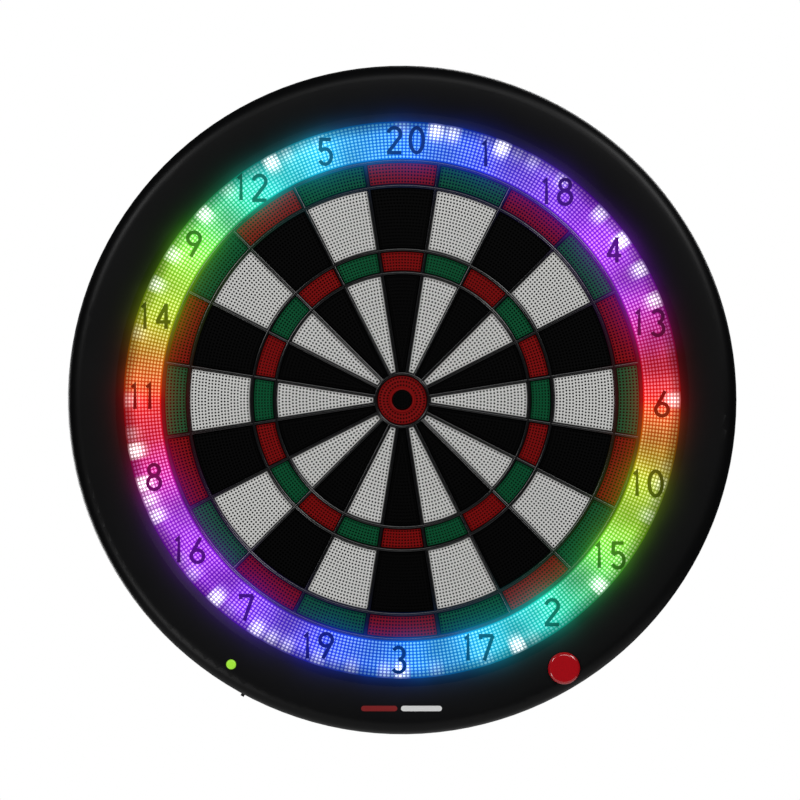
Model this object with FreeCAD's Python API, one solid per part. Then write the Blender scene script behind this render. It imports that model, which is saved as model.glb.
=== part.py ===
import FreeCAD, Part
import math
import os

from FreeCAD import Vector

# Round electronic dartboard for soft-tip darts, hung on a wall: a lit number ring and a shell round a
# target of separate keys, which press a mat and two contact sheets.
#
# Every piece is drawn with the board lying on its back: X to the right, Y up the face and Z out of the
# wall. stand_up then turns it to hang on a wall at Y = 0, with +Z up and the face towards -Y.
# A clock angle is in degrees from the top, clockwise as a player sees it.

# ---- Driving dimensions, in millimetres ----

# Target: the centre lines of the spider's five round ribs, and its ribs' widths.
NUMBERS = (20, 1, 18, 4, 13, 6, 10, 15, 2, 17, 3, 19, 7, 16, 8, 11, 14, 9, 12, 5)
SECTOR_ANGLE = 360 / len(NUMBERS)
BULL_RIB_R = 22.1
TRIPLE_IN_R = 105.6
TRIPLE_OUT_R = 124.8
DOUBLE_IN_R = 177.7
DOUBLE_OUT_R = 198.5
ROUND_RIB = 2.6
RADIAL_RIB = 2.4
ROUND_WEB = 1.0
RADIAL_WEB = 0.8
KEY_GAP = 0.45
INNER_BULL_R = 8.1
INNER_BULL_FLANGE = 1.5
COUNTERBORE = 1.6
PEG_R = 2.0
BULL_PEG_W = 3.0

# Heights of the layers between the wall and the face.
FOOT_H = 3.0
COVER_T = 2.5
CAVITY_H = 5.2
BACKING_T = 4.0
SHEET_T = 0.4
MAT_T = 3.0
KEY_TRAVEL = 1.0
PRESSED_GAP = 0.2
PEG_H = 1.8
FLANGE_T = 2.5
FLANGE_PLAY = 0.3
KEY_T = 8.0
RIB_PROUD = 1.5
RIB_OFF_MAT = 1.5

# Shell: its width from the number ring's mouth to the rim, and places measured in from the rim.
BEZEL_W = 46.4
SHELL_T = 2.5
BEZEL_H = 40.0
CORNER_R = 12.0
LIP_W = 6.5
LIP_DROP = 1.8
MOUTH_RISE = 1.0
COVER_RIM_H = 5.5
COVER_RIM_T = 2.8
COVER_RIM_GAP = 0.4
COVER_EDGE_CHAMFER = 1.0
PAD_R = 45.0
POST_R = 3.6
POST_INSET = 15.5
POSTS = 12
FIRST_POST = 15.0
COVER_SCREW_L = 16.0
SUPPORT_R = 4.0
SUPPORT_CIRCLE_R = 110.0
SUPPORT_CLOCKS = (0, 45, 90, 135, 225, 270, 315)
VENTS = 7
VENT_W, VENT_L, VENT_PITCH = 3.0, 36.0, 9.0
VENT_X, VENT_Y = 82.0, -40.0

# Number ring and its light, with places measured from the ring's mouth.
RING_W = 31.3
RING_GAP = 0.4
RING_T = 5.0
RING_FLANGE_T = 2.0
RING_FLANGE_W = 4.9
LEDGE_T = 3.0
LEDGE_W = 2.0
FLANGE_W = 6.6
LIGHT_BOARD_OVER = 8.4
PCB_T = 1.6
LIGHTS = 100
LIGHT_INSET = 6.6
LIGHT_SIDE = 5.0
LIGHT_H = 1.5
LIGHT_HOLE_R = 4.2
REFLECTOR_OVER = 1.4
REFLECTOR_T = 1.5
DIFFUSER_T = 1.5

# Target module's fixings, with places measured from the spider's outer wall.
BACKING_OVER = 8.2
MAT_GAP = 0.7
BOSS_R = 3.0
BOSS_OFFSET = 3.4
BOSSES = 15
LIGHT_SCREW_INSET = 3.5
LIGHT_SCREWS = 10
UNDER_RIB_INSET = 16.0
UNDER_RIB_T = 2.0

# Screws: M3 and M2.5, pan heads.
M3_R, M3_HEAD_R, M3_HEAD_H = 1.45, 2.8, 2.0
M25_R, M25_HEAD_R, M25_HEAD_H = 1.2, 2.3, 1.6
PILOT_PLAY = 0.05
SCREW_PLAY = 0.25
TIP_PLAY = 1.0
PILOT_ROOF = 1.0
BOARD_PILOT_FLOOR, BOARD_TIP_PLAY = 0.8, 0.2
CUT_OVER = 1.0
# How a sweep turns the corners of its path: mitred.
RIGHT_CORNERS = 1
WELD = 0.5

# Red button, bottom right.
BUTTON_R = 13.35
BUTTON_EDGE_W = 4.65
BUTTON_CLOCK = 148.9
BUTTON_PROUD = 3.5
BUTTON_TRAVEL = 2.5
BUTTON_PLAY = 0.4
BUTTON_HEAD_H = 10.5
BUTTON_ROUND = 3.0
CAP_T = 2.5
STEM_IN = 2.35
STEM_H = 9.0
STEM_T = 1.5
STEM_FLANGE_W = 1.6
STEM_FLANGE_T = 2.0
PLUNGER_R, PLUNGER_GAP = 2.5, 0.1
GUIDE_T = 2.2
HOUSING_IN_GAP = 0.8
HOUSING_H = 12.0
HOUSING_T = 1.4
HOUSING_FLOOR_T = 2.0
EAR_T = 2.0
EAR_OFFSET = 4.65
BRIDGE_W = 4.0
HOUSING_SCREW_L = 8.0
BUTTON_SWITCH_SIDE = 6.0
BUTTON_SWITCH_BODY_H = 3.5
BUTTON_SWITCH_H = 4.7
BUTTON_SWITCH_PIN_R = 1.75
SPRING_R = 6.5
SPRING_WIRE_R = 0.4
SPRING_END_GAP = 0.1
SPRING_TURNS = 8
SPRING_STEPS = 16

# Power light, switch and socket, on the lower rim.
WINDOW_R = 4.0
WINDOW_INSET = 16.6
WINDOW_CLOCK = 212.9
WINDOW_PLAY = 0.15
WINDOW_PROUD = 0.4
WINDOW_ROUND = 1.2
WINDOW_FLANGE_W, WINDOW_FLANGE_T = 1.2, 1.5
WINDOW_STEM_R = 2.5
POWER_LIGHT_R, POWER_LIGHT_H = 1.5, 3.0
SWITCH_CLOCK = 208.4
SWITCH_TRAVEL = 4.0
SWITCH_BOARD_BACK, SWITCH_BOARD_ON = 12.0, 30.0
SWITCH_BOARD_L = 18.5
SWITCH_BACK, SWITCH_ON = 5.0, 9.0
SWITCH_DEPTH, SWITCH_H = 5.4, 7.6
THUMB_W = 3.0
THUMB_PROUD = 2.5
THUMB_TAIL = 2.2
THUMB_RISE = 4.4
SWITCH_PLAY = 0.35
SOCKET_W = 9.0
SOCKET_H = 3.3
SOCKET_DEPTH = 7.8
SOCKET_WALL = 0.3
SOCKET_PLAY = 0.3
SOCKET_BACK_T = 1.2
SOCKET_MOUTH_INSET = 3.1
SOCKET_RECESS_W = 13.2
SOCKET_RECESS_H = 7.4
TONGUE_T, TONGUE_GAP = 0.7, 1.0
POWER_BOARD_W, POWER_BOARD_L = 34.0, 24.0
SOCKET_OVERHANG = 4.4

# Control board behind the target.
CONTROL_W, CONTROL_H = 120.0, 70.0
CONTROL_Y = -130.0
CONTROL_SCREW_INSET = 5.0
SMALL_BOARD_SCREW_INSET = 4.0
STANDOFF_H = 1.5
STANDOFF_R = 3.0
PLUG_L, PLUG_W, PLUG_H = 6.0, 8.0, 1.8
CABLE_R = 0.8
CABLE_RISE = 0.9
CABLE_BEND_R = 4.0
CABLE_INSET = 8.0
CABLE_RUN = 16.0
POWER_CABLE_RUN = 40.0
CABLE_HOLE_PLAY = 0.6
NOTCH_DEPTH, NOTCH_PLAY = 8.0, 2.0
TAIL_W = 24.0
TAIL_X = 26.0
TAIL_INSET = 18.5
TAIL_T = 0.3
TAIL_SLOT_W = 3.0
TAIL_PLAY = 1.0
LIGHT_CABLE_W, LIGHT_CABLE_T = 12.0, 1.0
LIGHT_CABLE_OVER = 6.0
POWER_CABLE_X = 44.0
POWER_PLUG_X = 8.0

# Wall fixing.
FOOT_R = 9.0
FOOT_ROUND = 1.0
FOOT_INSET = 32.5
FEET = 6
FIRST_FOOT = 30.0
HANGER_X, HANGER_Y = 130.0, 120.0
HANGER_W, HANGER_L, HANGER_T = 44.0, 60.0, 1.5
HANGER_CORNER_R = 5.0
KEYHOLE_HEAD_R = 5.5
KEYHOLE_SLOT_R = 2.6
KEYHOLE_RISE = 12.0
KEYHOLE_ROOM = 4.0
POCKET_W, POCKET_L, POCKET_T = 16.0, 34.0, 1.5
POCKET_OFF_BOARD = 0.4
RIVET_R, RIVET_HEAD_R, RIVET_HEAD_H = 1.6, 3.0, 0.9
RIVET_PLAY = 0.1
RIVET_X_INSET, RIVET_Y_INSET = 7.0, 11.0

# ---- Levels and radii that follow from them ----
COVER_BACK = FOOT_H
FLOOR = COVER_BACK + COVER_T
BACKING_LOW = FLOOR + CAVITY_H
BACKING_TOP = BACKING_LOW + BACKING_T
MAT_LOW = BACKING_TOP + 2 * SHEET_T
MAT_TOP = MAT_LOW + MAT_T
PEG_LOW = MAT_TOP + PRESSED_GAP + KEY_TRAVEL
FLANGE_LOW = PEG_LOW + PEG_H
FLANGE_TOP = FLANGE_LOW + FLANGE_T
HEAD_LOW = FLANGE_TOP + FLANGE_PLAY
FACE = FLANGE_TOP + KEY_T
RIB_TOP = FACE + RIB_PROUD
WEB_LOW = MAT_TOP + RIB_OFF_MAT
RING_LOW = FACE - RING_T
MOUTH_H = FACE + MOUTH_RISE
BOSS_TOP = RING_LOW - LEDGE_T
PCB_LOW = FLOOR + STANDOFF_H
PCB_TOP = PCB_LOW + PCB_T
CABLE_Z = PCB_TOP + CABLE_RISE
LIGHT_TOP = BACKING_TOP + PCB_T
BUTTON_TOP = BEZEL_H + BUTTON_PROUD
BUTTON_HEAD_LOW = BUTTON_TOP - BUTTON_HEAD_H
GUIDE_LOW = BUTTON_HEAD_LOW - STEM_H
HOUSING_LOW = GUIDE_LOW - HOUSING_H
SPRING_SEAT = BUTTON_TOP - CAP_T
BUTTON_BOARD_TOP = HOUSING_LOW + HOUSING_FLOOR_T + PCB_T
BUTTON_SWITCH_TOP = BUTTON_BOARD_TOP + BUTTON_SWITCH_H
THUMB_Z = PCB_TOP + THUMB_RISE

SPIDER_R = DOUBLE_OUT_R + ROUND_RIB / 2
MAT_R = SPIDER_R - ROUND_RIB - MAT_GAP
BOSS_CIRCLE_R = SPIDER_R + BOSS_OFFSET
BACKING_R = SPIDER_R + BACKING_OVER
UNDER_RIB_IN_R = BACKING_R - UNDER_RIB_INSET
UNDER_RIB_OUT_R = BACKING_R + RING_GAP
MOUTH_R = SPIDER_R + RING_W
LIP_R = MOUTH_R + LIP_W
RING_FLANGE_R = MOUTH_R + RING_FLANGE_W
LIGHT_CIRCLE_R = MOUTH_R - LIGHT_INSET
LIGHT_BOARD_IN_R = SPIDER_R + FLANGE_W + RING_GAP
LIGHT_BOARD_R = MOUTH_R + LIGHT_BOARD_OVER
LIGHT_SCREW_CIRCLE_R = LIGHT_BOARD_R - LIGHT_SCREW_INSET
REFLECTOR_IN_R = LIGHT_BOARD_IN_R + RING_GAP
REFLECTOR_R = MOUTH_R + REFLECTOR_OVER
BOARD_R = MOUTH_R + BEZEL_W
COVER_RIM_R = BOARD_R - SHELL_T - COVER_RIM_GAP
RIM_IN_R = COVER_RIM_R - COVER_RIM_T
POST_CIRCLE_R = BOARD_R - POST_INSET
FOOT_CIRCLE_R = BOARD_R - FOOT_INSET
BUTTON_CIRCLE_R = BOARD_R - BUTTON_EDGE_W - BUTTON_R
WINDOW_CIRCLE_R = BOARD_R - WINDOW_INSET
STEM_R = BUTTON_R - STEM_IN
HOUSING_R = STEM_R + STEM_FLANGE_W + HOUSING_IN_GAP + HOUSING_T
EAR_REACH = BUTTON_R + EAR_OFFSET
SWITCH_FACE_R = RIM_IN_R - COVER_RIM_GAP
SWITCH_BOARD_R = RIM_IN_R - SOCKET_OVERHANG / 2
TAIL_Y = -(MAT_R - TAIL_INSET)
LIGHT_CABLE_Y = -(BACKING_R + LIGHT_CABLE_OVER)
SOCKET_Y = -(BOARD_R - SOCKET_MOUTH_INSET)
POWER_BOARD_OUT_Y = SOCKET_Y + SOCKET_OVERHANG
POWER_BOARD_IN_Y = POWER_BOARD_OUT_Y + POWER_BOARD_L


# ---- Shapes that several pieces share ----

def around(radius, clock, z=0.0):
    """The point at this distance from the centre, at this clock angle."""
    angle = math.radians(clock)
    return Vector(radius * math.sin(angle), radius * math.cos(angle), z)


def disc(radius, low, high, centre=Vector()):
    return Part.makeCylinder(radius, high - low, Vector(centre.x, centre.y, low))


def ring(r_in, r_out, low, high, centre=Vector()):
    return disc(r_out, low, high, centre).cut(disc(r_in, low - 1, high + 1, centre))


def block(x0, x1, y0, y1, low, high):
    return Part.makeBox(x1 - x0, y1 - y0, high - low, Vector(x0, y0, low))


def turned(shape, clock):
    """The shape, drawn at the top of the board, moved round to a clock angle."""
    copy = shape.copy()
    copy.rotate(Vector(), Vector(0, 0, 1), -clock)
    return copy


def lathe(points):
    """A body of revolution about the board's axis from a closed outline of (radius, height)."""
    corners = [Vector(r, 0, z) for r, z in points]
    outline = Part.makePolygon(corners + corners[:1])
    return Part.Face(outline).revolve(Vector(), Vector(0, 0, 1), 360)


def joined(shapes):
    return shapes[0].fuse(shapes[1:]).removeSplitter()


def group(shapes):
    return Part.makeCompound(shapes)


def spread(count, first=0.0):
    """Evenly spaced clock angles."""
    return [first + 360 / count * i for i in range(count)]


def key_outline(r_in, r_out, side):
    """The outline between two round edges and two sides that run parallel to the sector's lines."""
    half = math.radians(SECTOR_ANGLE / 2)
    along = Vector(math.sin(half), math.cos(half), 0)
    inward = Vector(-math.cos(half), math.sin(half), 0)
    right_in, right_out = (
        along * math.sqrt(r * r - side * side) + inward * side for r in (r_in, r_out)
    )
    left_in, left_out = (Vector(-p.x, p.y, 0) for p in (right_in, right_out))
    return Part.Wire([
        Part.Arc(left_in, Vector(0, r_in, 0), right_in).toShape(),
        Part.LineSegment(right_in, right_out).toShape(),
        Part.Arc(right_out, Vector(0, r_out, 0), left_out).toShape(),
        Part.LineSegment(left_out, left_in).toShape(),
    ])


def prism(wire, low, high):
    face = Part.Face(wire)
    face.translate(Vector(0, 0, low))
    return face.extrude(Vector(0, 0, high - low))


def screw(centre, seat, tip, radius, head_r, head_h):
    """A pan-head screw whose head sits on the height seat, with its tip at the height tip."""
    direction = 1 if tip > seat else -1
    head_far = seat - direction * head_h
    head = disc(head_r, min(seat, head_far), max(seat, head_far), centre)
    head_edges = [e for e in head.Edges if abs(e.BoundBox.ZMin - head_far) < 1e-6
                  and abs(e.BoundBox.ZMax - head_far) < 1e-6]
    head = head.makeFillet(head_h * 0.4, head_edges)
    return head.fuse(disc(radius, min(seat, tip), max(seat, tip), centre)).removeSplitter()


def m3(centre, seat, tip):
    return screw(centre, seat, tip, M3_R, M3_HEAD_R, M3_HEAD_H)


def m25(centre, seat, tip):
    return screw(centre, seat, tip, M25_R, M25_HEAD_R, M25_HEAD_H)


# ---- Keys of the target ----

# Each ring of keys lies between two round ribs: its name, those ribs and its pegs' places, as
# distances outwards from the key's middle and to each side of it.
KEY_RINGS = (
    ("double", DOUBLE_IN_R, DOUBLE_OUT_R, ((0, -18), (0, 18))),
    ("outer_single", TRIPLE_OUT_R, DOUBLE_IN_R, ((-14, 0), (14, 0))),
    ("triple", TRIPLE_IN_R, TRIPLE_OUT_R, ((0, -9), (0, 9))),
    ("inner_single", BULL_RIB_R, TRIPLE_IN_R, ((-16, 0), (22, 0))),
)
HEAD_REACH = ROUND_RIB / 2 + KEY_GAP
WEB_REACH = ROUND_WEB / 2 + KEY_GAP
HEAD_SIDE = RADIAL_RIB / 2 + KEY_GAP
WEB_SIDE = RADIAL_WEB / 2 + KEY_GAP


def key(rib_in, rib_out, pegs):
    """One key at the top of the board: a plate, a flange that the spider holds down, and pegs."""
    outer_reach = HEAD_REACH if rib_out == DOUBLE_OUT_R else WEB_REACH
    plate = prism(key_outline(rib_in + HEAD_REACH, rib_out - HEAD_REACH, HEAD_SIDE), FLANGE_TOP, FACE)
    flange = prism(key_outline(rib_in + WEB_REACH, rib_out - outer_reach, WEB_SIDE), FLANGE_LOW, FLANGE_TOP)
    middle = (rib_in + rib_out) / 2
    feet = [disc(PEG_R, PEG_LOW, FLANGE_LOW, Vector(side, middle + out, 0)) for out, side in pegs]
    return joined([plate, flange] + feet)


def outer_bull():
    reach, web = BULL_RIB_R - HEAD_REACH, BULL_RIB_R - WEB_REACH
    peg_out, peg_in = reach - PEG_R, reach - PEG_R - BULL_PEG_W
    bore = INNER_BULL_R + KEY_GAP
    counterbore = bore + COUNTERBORE
    return lathe([
        (bore, FLANGE_TOP), (bore, FACE), (reach, FACE), (reach, FLANGE_TOP), (web, FLANGE_TOP),
        (web, FLANGE_LOW), (peg_out, FLANGE_LOW), (peg_out, PEG_LOW), (peg_in, PEG_LOW),
        (peg_in, FLANGE_LOW), (counterbore, FLANGE_LOW), (counterbore, FLANGE_TOP),
    ])


def inner_bull():
    # Its flange is thin, so that the outer bull can be pressed alone.
    flange_high = FLANGE_TOP - KEY_TRAVEL - FLANGE_PLAY
    flange_r = INNER_BULL_R + INNER_BULL_FLANGE
    return lathe([
        (0, PEG_LOW), (BULL_PEG_W, PEG_LOW), (BULL_PEG_W, FLANGE_LOW),
        (flange_r, FLANGE_LOW), (flange_r, flange_high),
        (INNER_BULL_R, flange_high), (INNER_BULL_R, FACE), (0, FACE),
    ])


# ---- Target module ----

def spider():
    """The grid that holds the keys in: ribs with a wide head and a thin web, an outer wall and bosses."""
    def grid(round_half, radial_half, low, high):
        holes = []
        for _, rib_in, rib_out, _ in KEY_RINGS:
            outer_half = ROUND_RIB / 2 if rib_out == DOUBLE_OUT_R else round_half
            cell = key_outline(rib_in + round_half, rib_out - outer_half, radial_half)
            holes += [turned(cell, clock) for clock in spread(len(NUMBERS))]
        holes.append(Part.Wire(Part.makeCircle(BULL_RIB_R - round_half)))
        outline = Part.Wire(Part.makeCircle(SPIDER_R))
        face = Part.makeFace([outline] + holes, "Part::FaceMakerBullseye")
        face.translate(Vector(0, 0, low))
        return face.extrude(Vector(0, 0, high - low))

    wall = ring(SPIDER_R - ROUND_RIB, SPIDER_R, BACKING_TOP, WEB_LOW)
    flange = ring(SPIDER_R - WELD, SPIDER_R + FLANGE_W, BACKING_TOP, BACKING_TOP + FLANGE_T)
    ledge = ring(SPIDER_R - WELD, SPIDER_R + LEDGE_W, BOSS_TOP, RING_LOW)
    places = [around(BOSS_CIRCLE_R, c) for c in boss_clocks()]
    bosses = [disc(BOSS_R, BACKING_TOP, BOSS_TOP, p) for p in places]
    pilots = [disc(M3_R + PILOT_PLAY, BACKING_TOP - CUT_OVER, BOSS_TOP - PILOT_ROOF, p) for p in places]
    body = joined([grid(ROUND_RIB / 2, RADIAL_RIB / 2, HEAD_LOW, RIB_TOP),
                   grid(ROUND_WEB / 2, RADIAL_WEB / 2, WEB_LOW, HEAD_LOW), wall, flange, ledge] + bosses)
    return body.cut(pilots)


def rubber_mat():
    return disc(MAT_R, MAT_LOW, MAT_TOP)


def sensor_sheet(layer):
    return disc(MAT_R, BACKING_TOP + layer * SHEET_T, BACKING_TOP + (layer + 1) * SHEET_T)


def sensor_tail(side):
    """A flat tail of the contact sheets: back through the board's slot, then up to its connector."""
    x0 = side * TAIL_X - TAIL_W / 2
    low = CABLE_Z - TAIL_T / 2
    drop = block(x0, x0 + TAIL_W, TAIL_Y, TAIL_Y + TAIL_T, low, BACKING_TOP)
    run = block(x0, x0 + TAIL_W, TAIL_Y, CONTROL_Y - CONTROL_H / 2, low, low + TAIL_T)
    return joined([drop, run])


def backing_board():
    holes = [disc(M3_R + SCREW_PLAY, BACKING_LOW - CUT_OVER, BACKING_TOP + CUT_OVER, around(BOSS_CIRCLE_R, c))
             for c in boss_clocks()]
    half_w, half_h = TAIL_W / 2 + TAIL_PLAY, TAIL_SLOT_W / 2
    slots = [block(side * TAIL_X - half_w, side * TAIL_X + half_w, TAIL_Y - half_h, TAIL_Y + half_h,
                   BACKING_LOW - CUT_OVER, BACKING_TOP + CUT_OVER) for side in (-1, 1)]
    return disc(BACKING_R, BACKING_LOW, BACKING_TOP).cut(holes + slots)


def boss_clocks():
    return spread(BOSSES, SECTOR_ANGLE / 2)


def cover_boss_clocks():
    """Every third boss takes a screw from the rear cover, and the others hold the backing board."""
    return boss_clocks()[::3]


def boss_screws(clocks, seat):
    tip = BOSS_TOP - PILOT_ROOF - TIP_PLAY
    return group([m3(around(BOSS_CIRCLE_R, c), seat, tip) for c in clocks])


def spider_screws():
    return boss_screws([c for c in boss_clocks() if c not in cover_boss_clocks()], BACKING_LOW)


def target_screws():
    return boss_screws(cover_boss_clocks(), COVER_BACK)


# ---- Number ring and its light ----

def number_ring():
    inner = SPIDER_R + RING_GAP
    outer = MOUTH_R - RING_GAP
    flange_high = RING_LOW + RING_FLANGE_T
    return lathe([(inner, RING_LOW), (RING_FLANGE_R, RING_LOW), (RING_FLANGE_R, flange_high),
                  (outer, flange_high), (outer, FACE), (inner, FACE)])


def light_screws_at():
    return [around(LIGHT_SCREW_CIRCLE_R, c) for c in spread(LIGHT_SCREWS, SECTOR_ANGLE)]


def light_board():
    holes = [disc(M25_R + SCREW_PLAY, BACKING_TOP - CUT_OVER, LIGHT_TOP + CUT_OVER, p)
             for p in light_screws_at()]
    return ring(LIGHT_BOARD_IN_R, LIGHT_BOARD_R, BACKING_TOP, LIGHT_TOP).cut(holes)


def ring_lights():
    half = LIGHT_SIDE / 2
    light = block(-half, half, LIGHT_CIRCLE_R - half, LIGHT_CIRCLE_R + half, LIGHT_TOP, LIGHT_TOP + LIGHT_H)
    return group([turned(light, c) for c in spread(LIGHTS)])


def light_reflector():
    seat = RING_LOW - DIFFUSER_T
    floor = LIGHT_TOP + REFLECTOR_T
    r_in, r_out, t = REFLECTOR_IN_R, REFLECTOR_R, REFLECTOR_T
    channel = lathe([(r_in, LIGHT_TOP), (r_out, LIGHT_TOP), (r_out, RING_LOW), (r_out - t, RING_LOW),
                     (r_out - t, seat), (r_out - 2 * t, seat), (r_out - 2 * t, floor),
                     (r_in + t, floor), (r_in + t, seat), (r_in, seat)])
    holes = [disc(LIGHT_HOLE_R, LIGHT_TOP - CUT_OVER, floor + CUT_OVER, around(LIGHT_CIRCLE_R, c))
             for c in spread(LIGHTS)]
    return channel.cut(holes)


def light_diffuser():
    return ring(REFLECTOR_IN_R, REFLECTOR_R - REFLECTOR_T - RING_GAP, RING_LOW - DIFFUSER_T, RING_LOW)


def light_cable():
    """A ribbon from the light board's back down and in to the control board."""
    half, t = LIGHT_CABLE_W / 2, LIGHT_CABLE_T
    low = CABLE_Z - t / 2
    drop = block(-half, half, LIGHT_CABLE_Y, LIGHT_CABLE_Y + t, low, BACKING_TOP)
    run = block(-half, half, LIGHT_CABLE_Y, CONTROL_Y - CONTROL_H / 2, low, low + t)
    return joined([drop, run])


# ---- Front shell ----

def bezel_outline(inset):
    """The shell's section from its foot over the crest to the number ring, moved in by inset."""
    wall_r, crest = BOARD_R - inset, BEZEL_H - inset
    corner_x, corner_z = BOARD_R - CORNER_R, BEZEL_H - CORNER_R
    corner_r = CORNER_R - inset
    slant = corner_r * math.sin(math.radians(45))
    lip_r, lip_z = LIP_R + inset * 0.4, BEZEL_H - LIP_DROP - inset
    crown_r = (corner_x + lip_r) / 2
    crown_z = crest - LIP_DROP / 4
    mouth_r, mouth_z = MOUTH_R + inset, MOUTH_H - inset * 0.5
    foot = Vector(wall_r, 0, FLOOR)
    wall_top = Vector(wall_r, 0, corner_z)
    corner_mid = Vector(corner_x + slant, 0, corner_z + slant)
    corner_end = Vector(corner_x, 0, crest)
    lip = Vector(lip_r, 0, lip_z)
    mouth = Vector(mouth_r, 0, mouth_z)
    inner_foot = Vector(mouth_r, 0, RING_LOW + RING_FLANGE_T)
    return [
        Part.LineSegment(foot, wall_top).toShape(),
        Part.Arc(wall_top, corner_mid, corner_end).toShape(),
        Part.Arc(corner_end, Vector(crown_r, 0, crown_z), lip).toShape(),
        Part.LineSegment(lip, mouth).toShape(),
        Part.LineSegment(mouth, inner_foot).toShape(),
    ], foot, inner_foot


def bezel_envelope():
    """Everything under the shell's outer face, to trim what is built up inside it."""
    edges, foot, inner_foot = bezel_outline(0)
    corner = Vector(inner_foot.x, 0, foot.z)
    edges += [Part.LineSegment(inner_foot, corner).toShape(), Part.LineSegment(corner, foot).toShape()]
    return Part.Face(Part.Wire(Part.__sortEdges__(edges))).revolve(Vector(), Vector(0, 0, 1), 360)


def posts_at():
    return [around(POST_CIRCLE_R, c) for c in spread(POSTS, FIRST_POST)]


def front_bezel():
    outside, foot_out, inner_out = bezel_outline(0)
    inside, foot_in, inner_in = bezel_outline(SHELL_T)
    edges = outside + inside + [Part.LineSegment(foot_out, foot_in).toShape(),
                                Part.LineSegment(inner_out, inner_in).toShape()]
    shell = Part.Face(Part.Wire(Part.__sortEdges__(edges))).revolve(Vector(), Vector(0, 0, 1), 360)

    button = around(BUTTON_CIRCLE_R, BUTTON_CLOCK)
    posts = [disc(POST_R, FLOOR, BEZEL_H, p) for p in posts_at()]
    guide = disc(BUTTON_R + BUTTON_PLAY + GUIDE_T, GUIDE_LOW, BUTTON_TOP, button)
    ears = [disc(EAR_R, GUIDE_LOW, BUTTON_TOP, p) for p in button_ears()]
    envelope = bezel_envelope()
    built_up = [piece.common(envelope) for piece in posts + [guide] + ears]
    body = joined([shell] + built_up)

    cuts = [disc(M3_R + PILOT_PLAY, FLOOR - CUT_OVER, FLOOR + COVER_SCREW_L + TIP_PLAY, p) for p in posts_at()]
    cuts += [disc(M25_R + PILOT_PLAY, GUIDE_LOW - CUT_OVER, GUIDE_LOW + HOUSING_SCREW_L + TIP_PLAY, p)
             for p in button_ears()]
    cuts.append(disc(BUTTON_R + BUTTON_PLAY, BUTTON_HEAD_LOW - BUTTON_TRAVEL - BUTTON_PLAY, BUTTON_TOP, button))
    cuts.append(disc(STEM_R + BUTTON_PLAY, GUIDE_LOW - CUT_OVER, BUTTON_TOP, button))
    cuts.append(disc(WINDOW_R + WINDOW_PLAY, FLOOR, BUTTON_TOP, around(WINDOW_CIRCLE_R, WINDOW_CLOCK)))
    cuts.append(thumb_slot())
    cuts.append(socket_recess())
    return body.cut(cuts)


# ---- Button ----

EAR_R = M25_HEAD_R + 0.5


def button_ears():
    """Where the housing's two screws go, to each side of the button along the rim."""
    centre = around(BUTTON_CIRCLE_R, BUTTON_CLOCK)
    along = around(EAR_REACH, BUTTON_CLOCK + 90)
    return [centre + along, centre - along]


def red_button():
    centre = around(BUTTON_CIRCLE_R, BUTTON_CLOCK)
    head = disc(BUTTON_R, BUTTON_HEAD_LOW, BUTTON_TOP, centre)
    rim = [e for e in head.Edges if e.BoundBox.ZMin > BUTTON_TOP - 1e-3]
    head = head.makeFillet(BUTTON_ROUND, rim)
    flange_top = GUIDE_LOW - FLANGE_PLAY
    flange_low = flange_top - STEM_FLANGE_T
    stem = disc(STEM_R, flange_low, BUTTON_HEAD_LOW, centre)
    flange = disc(STEM_R + STEM_FLANGE_W, flange_low, flange_top, centre)
    hollow = disc(STEM_R - STEM_T, flange_low - CUT_OVER, SPRING_SEAT, centre)
    plunger = disc(PLUNGER_R, BUTTON_SWITCH_TOP + BUTTON_TRAVEL + PLUNGER_GAP, SPRING_SEAT, centre)
    return joined([joined([head, stem, flange]).cut(hollow), plunger])


def button_housing():
    centre = around(BUTTON_CIRCLE_R, BUTTON_CLOCK)
    cup = disc(HOUSING_R, HOUSING_LOW, GUIDE_LOW, centre)
    ear_low, floor = GUIDE_LOW - EAR_T, HOUSING_LOW + HOUSING_FLOOR_T
    ears = [disc(EAR_R, ear_low, GUIDE_LOW, p) for p in button_ears()]
    bridge = rim_block(-EAR_REACH, EAR_REACH, BUTTON_CIRCLE_R - BRIDGE_W / 2, BUTTON_CIRCLE_R + BRIDGE_W / 2,
                       ear_low, GUIDE_LOW, BUTTON_CLOCK)
    body = joined([cup, bridge] + ears)
    cuts = [disc(HOUSING_R - HOUSING_T, floor, GUIDE_LOW + CUT_OVER, centre)]
    cuts += [disc(M25_R + SCREW_PLAY, ear_low - CUT_OVER, GUIDE_LOW + CUT_OVER, p) for p in button_ears()]
    cuts.append(disc(CABLE_R + CABLE_HOLE_PLAY, HOUSING_LOW - CUT_OVER, floor + CUT_OVER, button_cable_start()))
    return body.cut(cuts)


def button_board():
    centre = around(BUTTON_CIRCLE_R, BUTTON_CLOCK)
    return disc(HOUSING_R - HOUSING_T - BUTTON_PLAY, HOUSING_LOW + HOUSING_FLOOR_T, BUTTON_BOARD_TOP, centre)


def button_switch():
    centre = around(BUTTON_CIRCLE_R, BUTTON_CLOCK)
    half, high = BUTTON_SWITCH_SIDE / 2, BUTTON_BOARD_TOP + BUTTON_SWITCH_BODY_H
    body = block(centre.x - half, centre.x + half, centre.y - half, centre.y + half, BUTTON_BOARD_TOP, high)
    return joined([body, disc(BUTTON_SWITCH_PIN_R, high, BUTTON_SWITCH_TOP, centre)])


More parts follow.
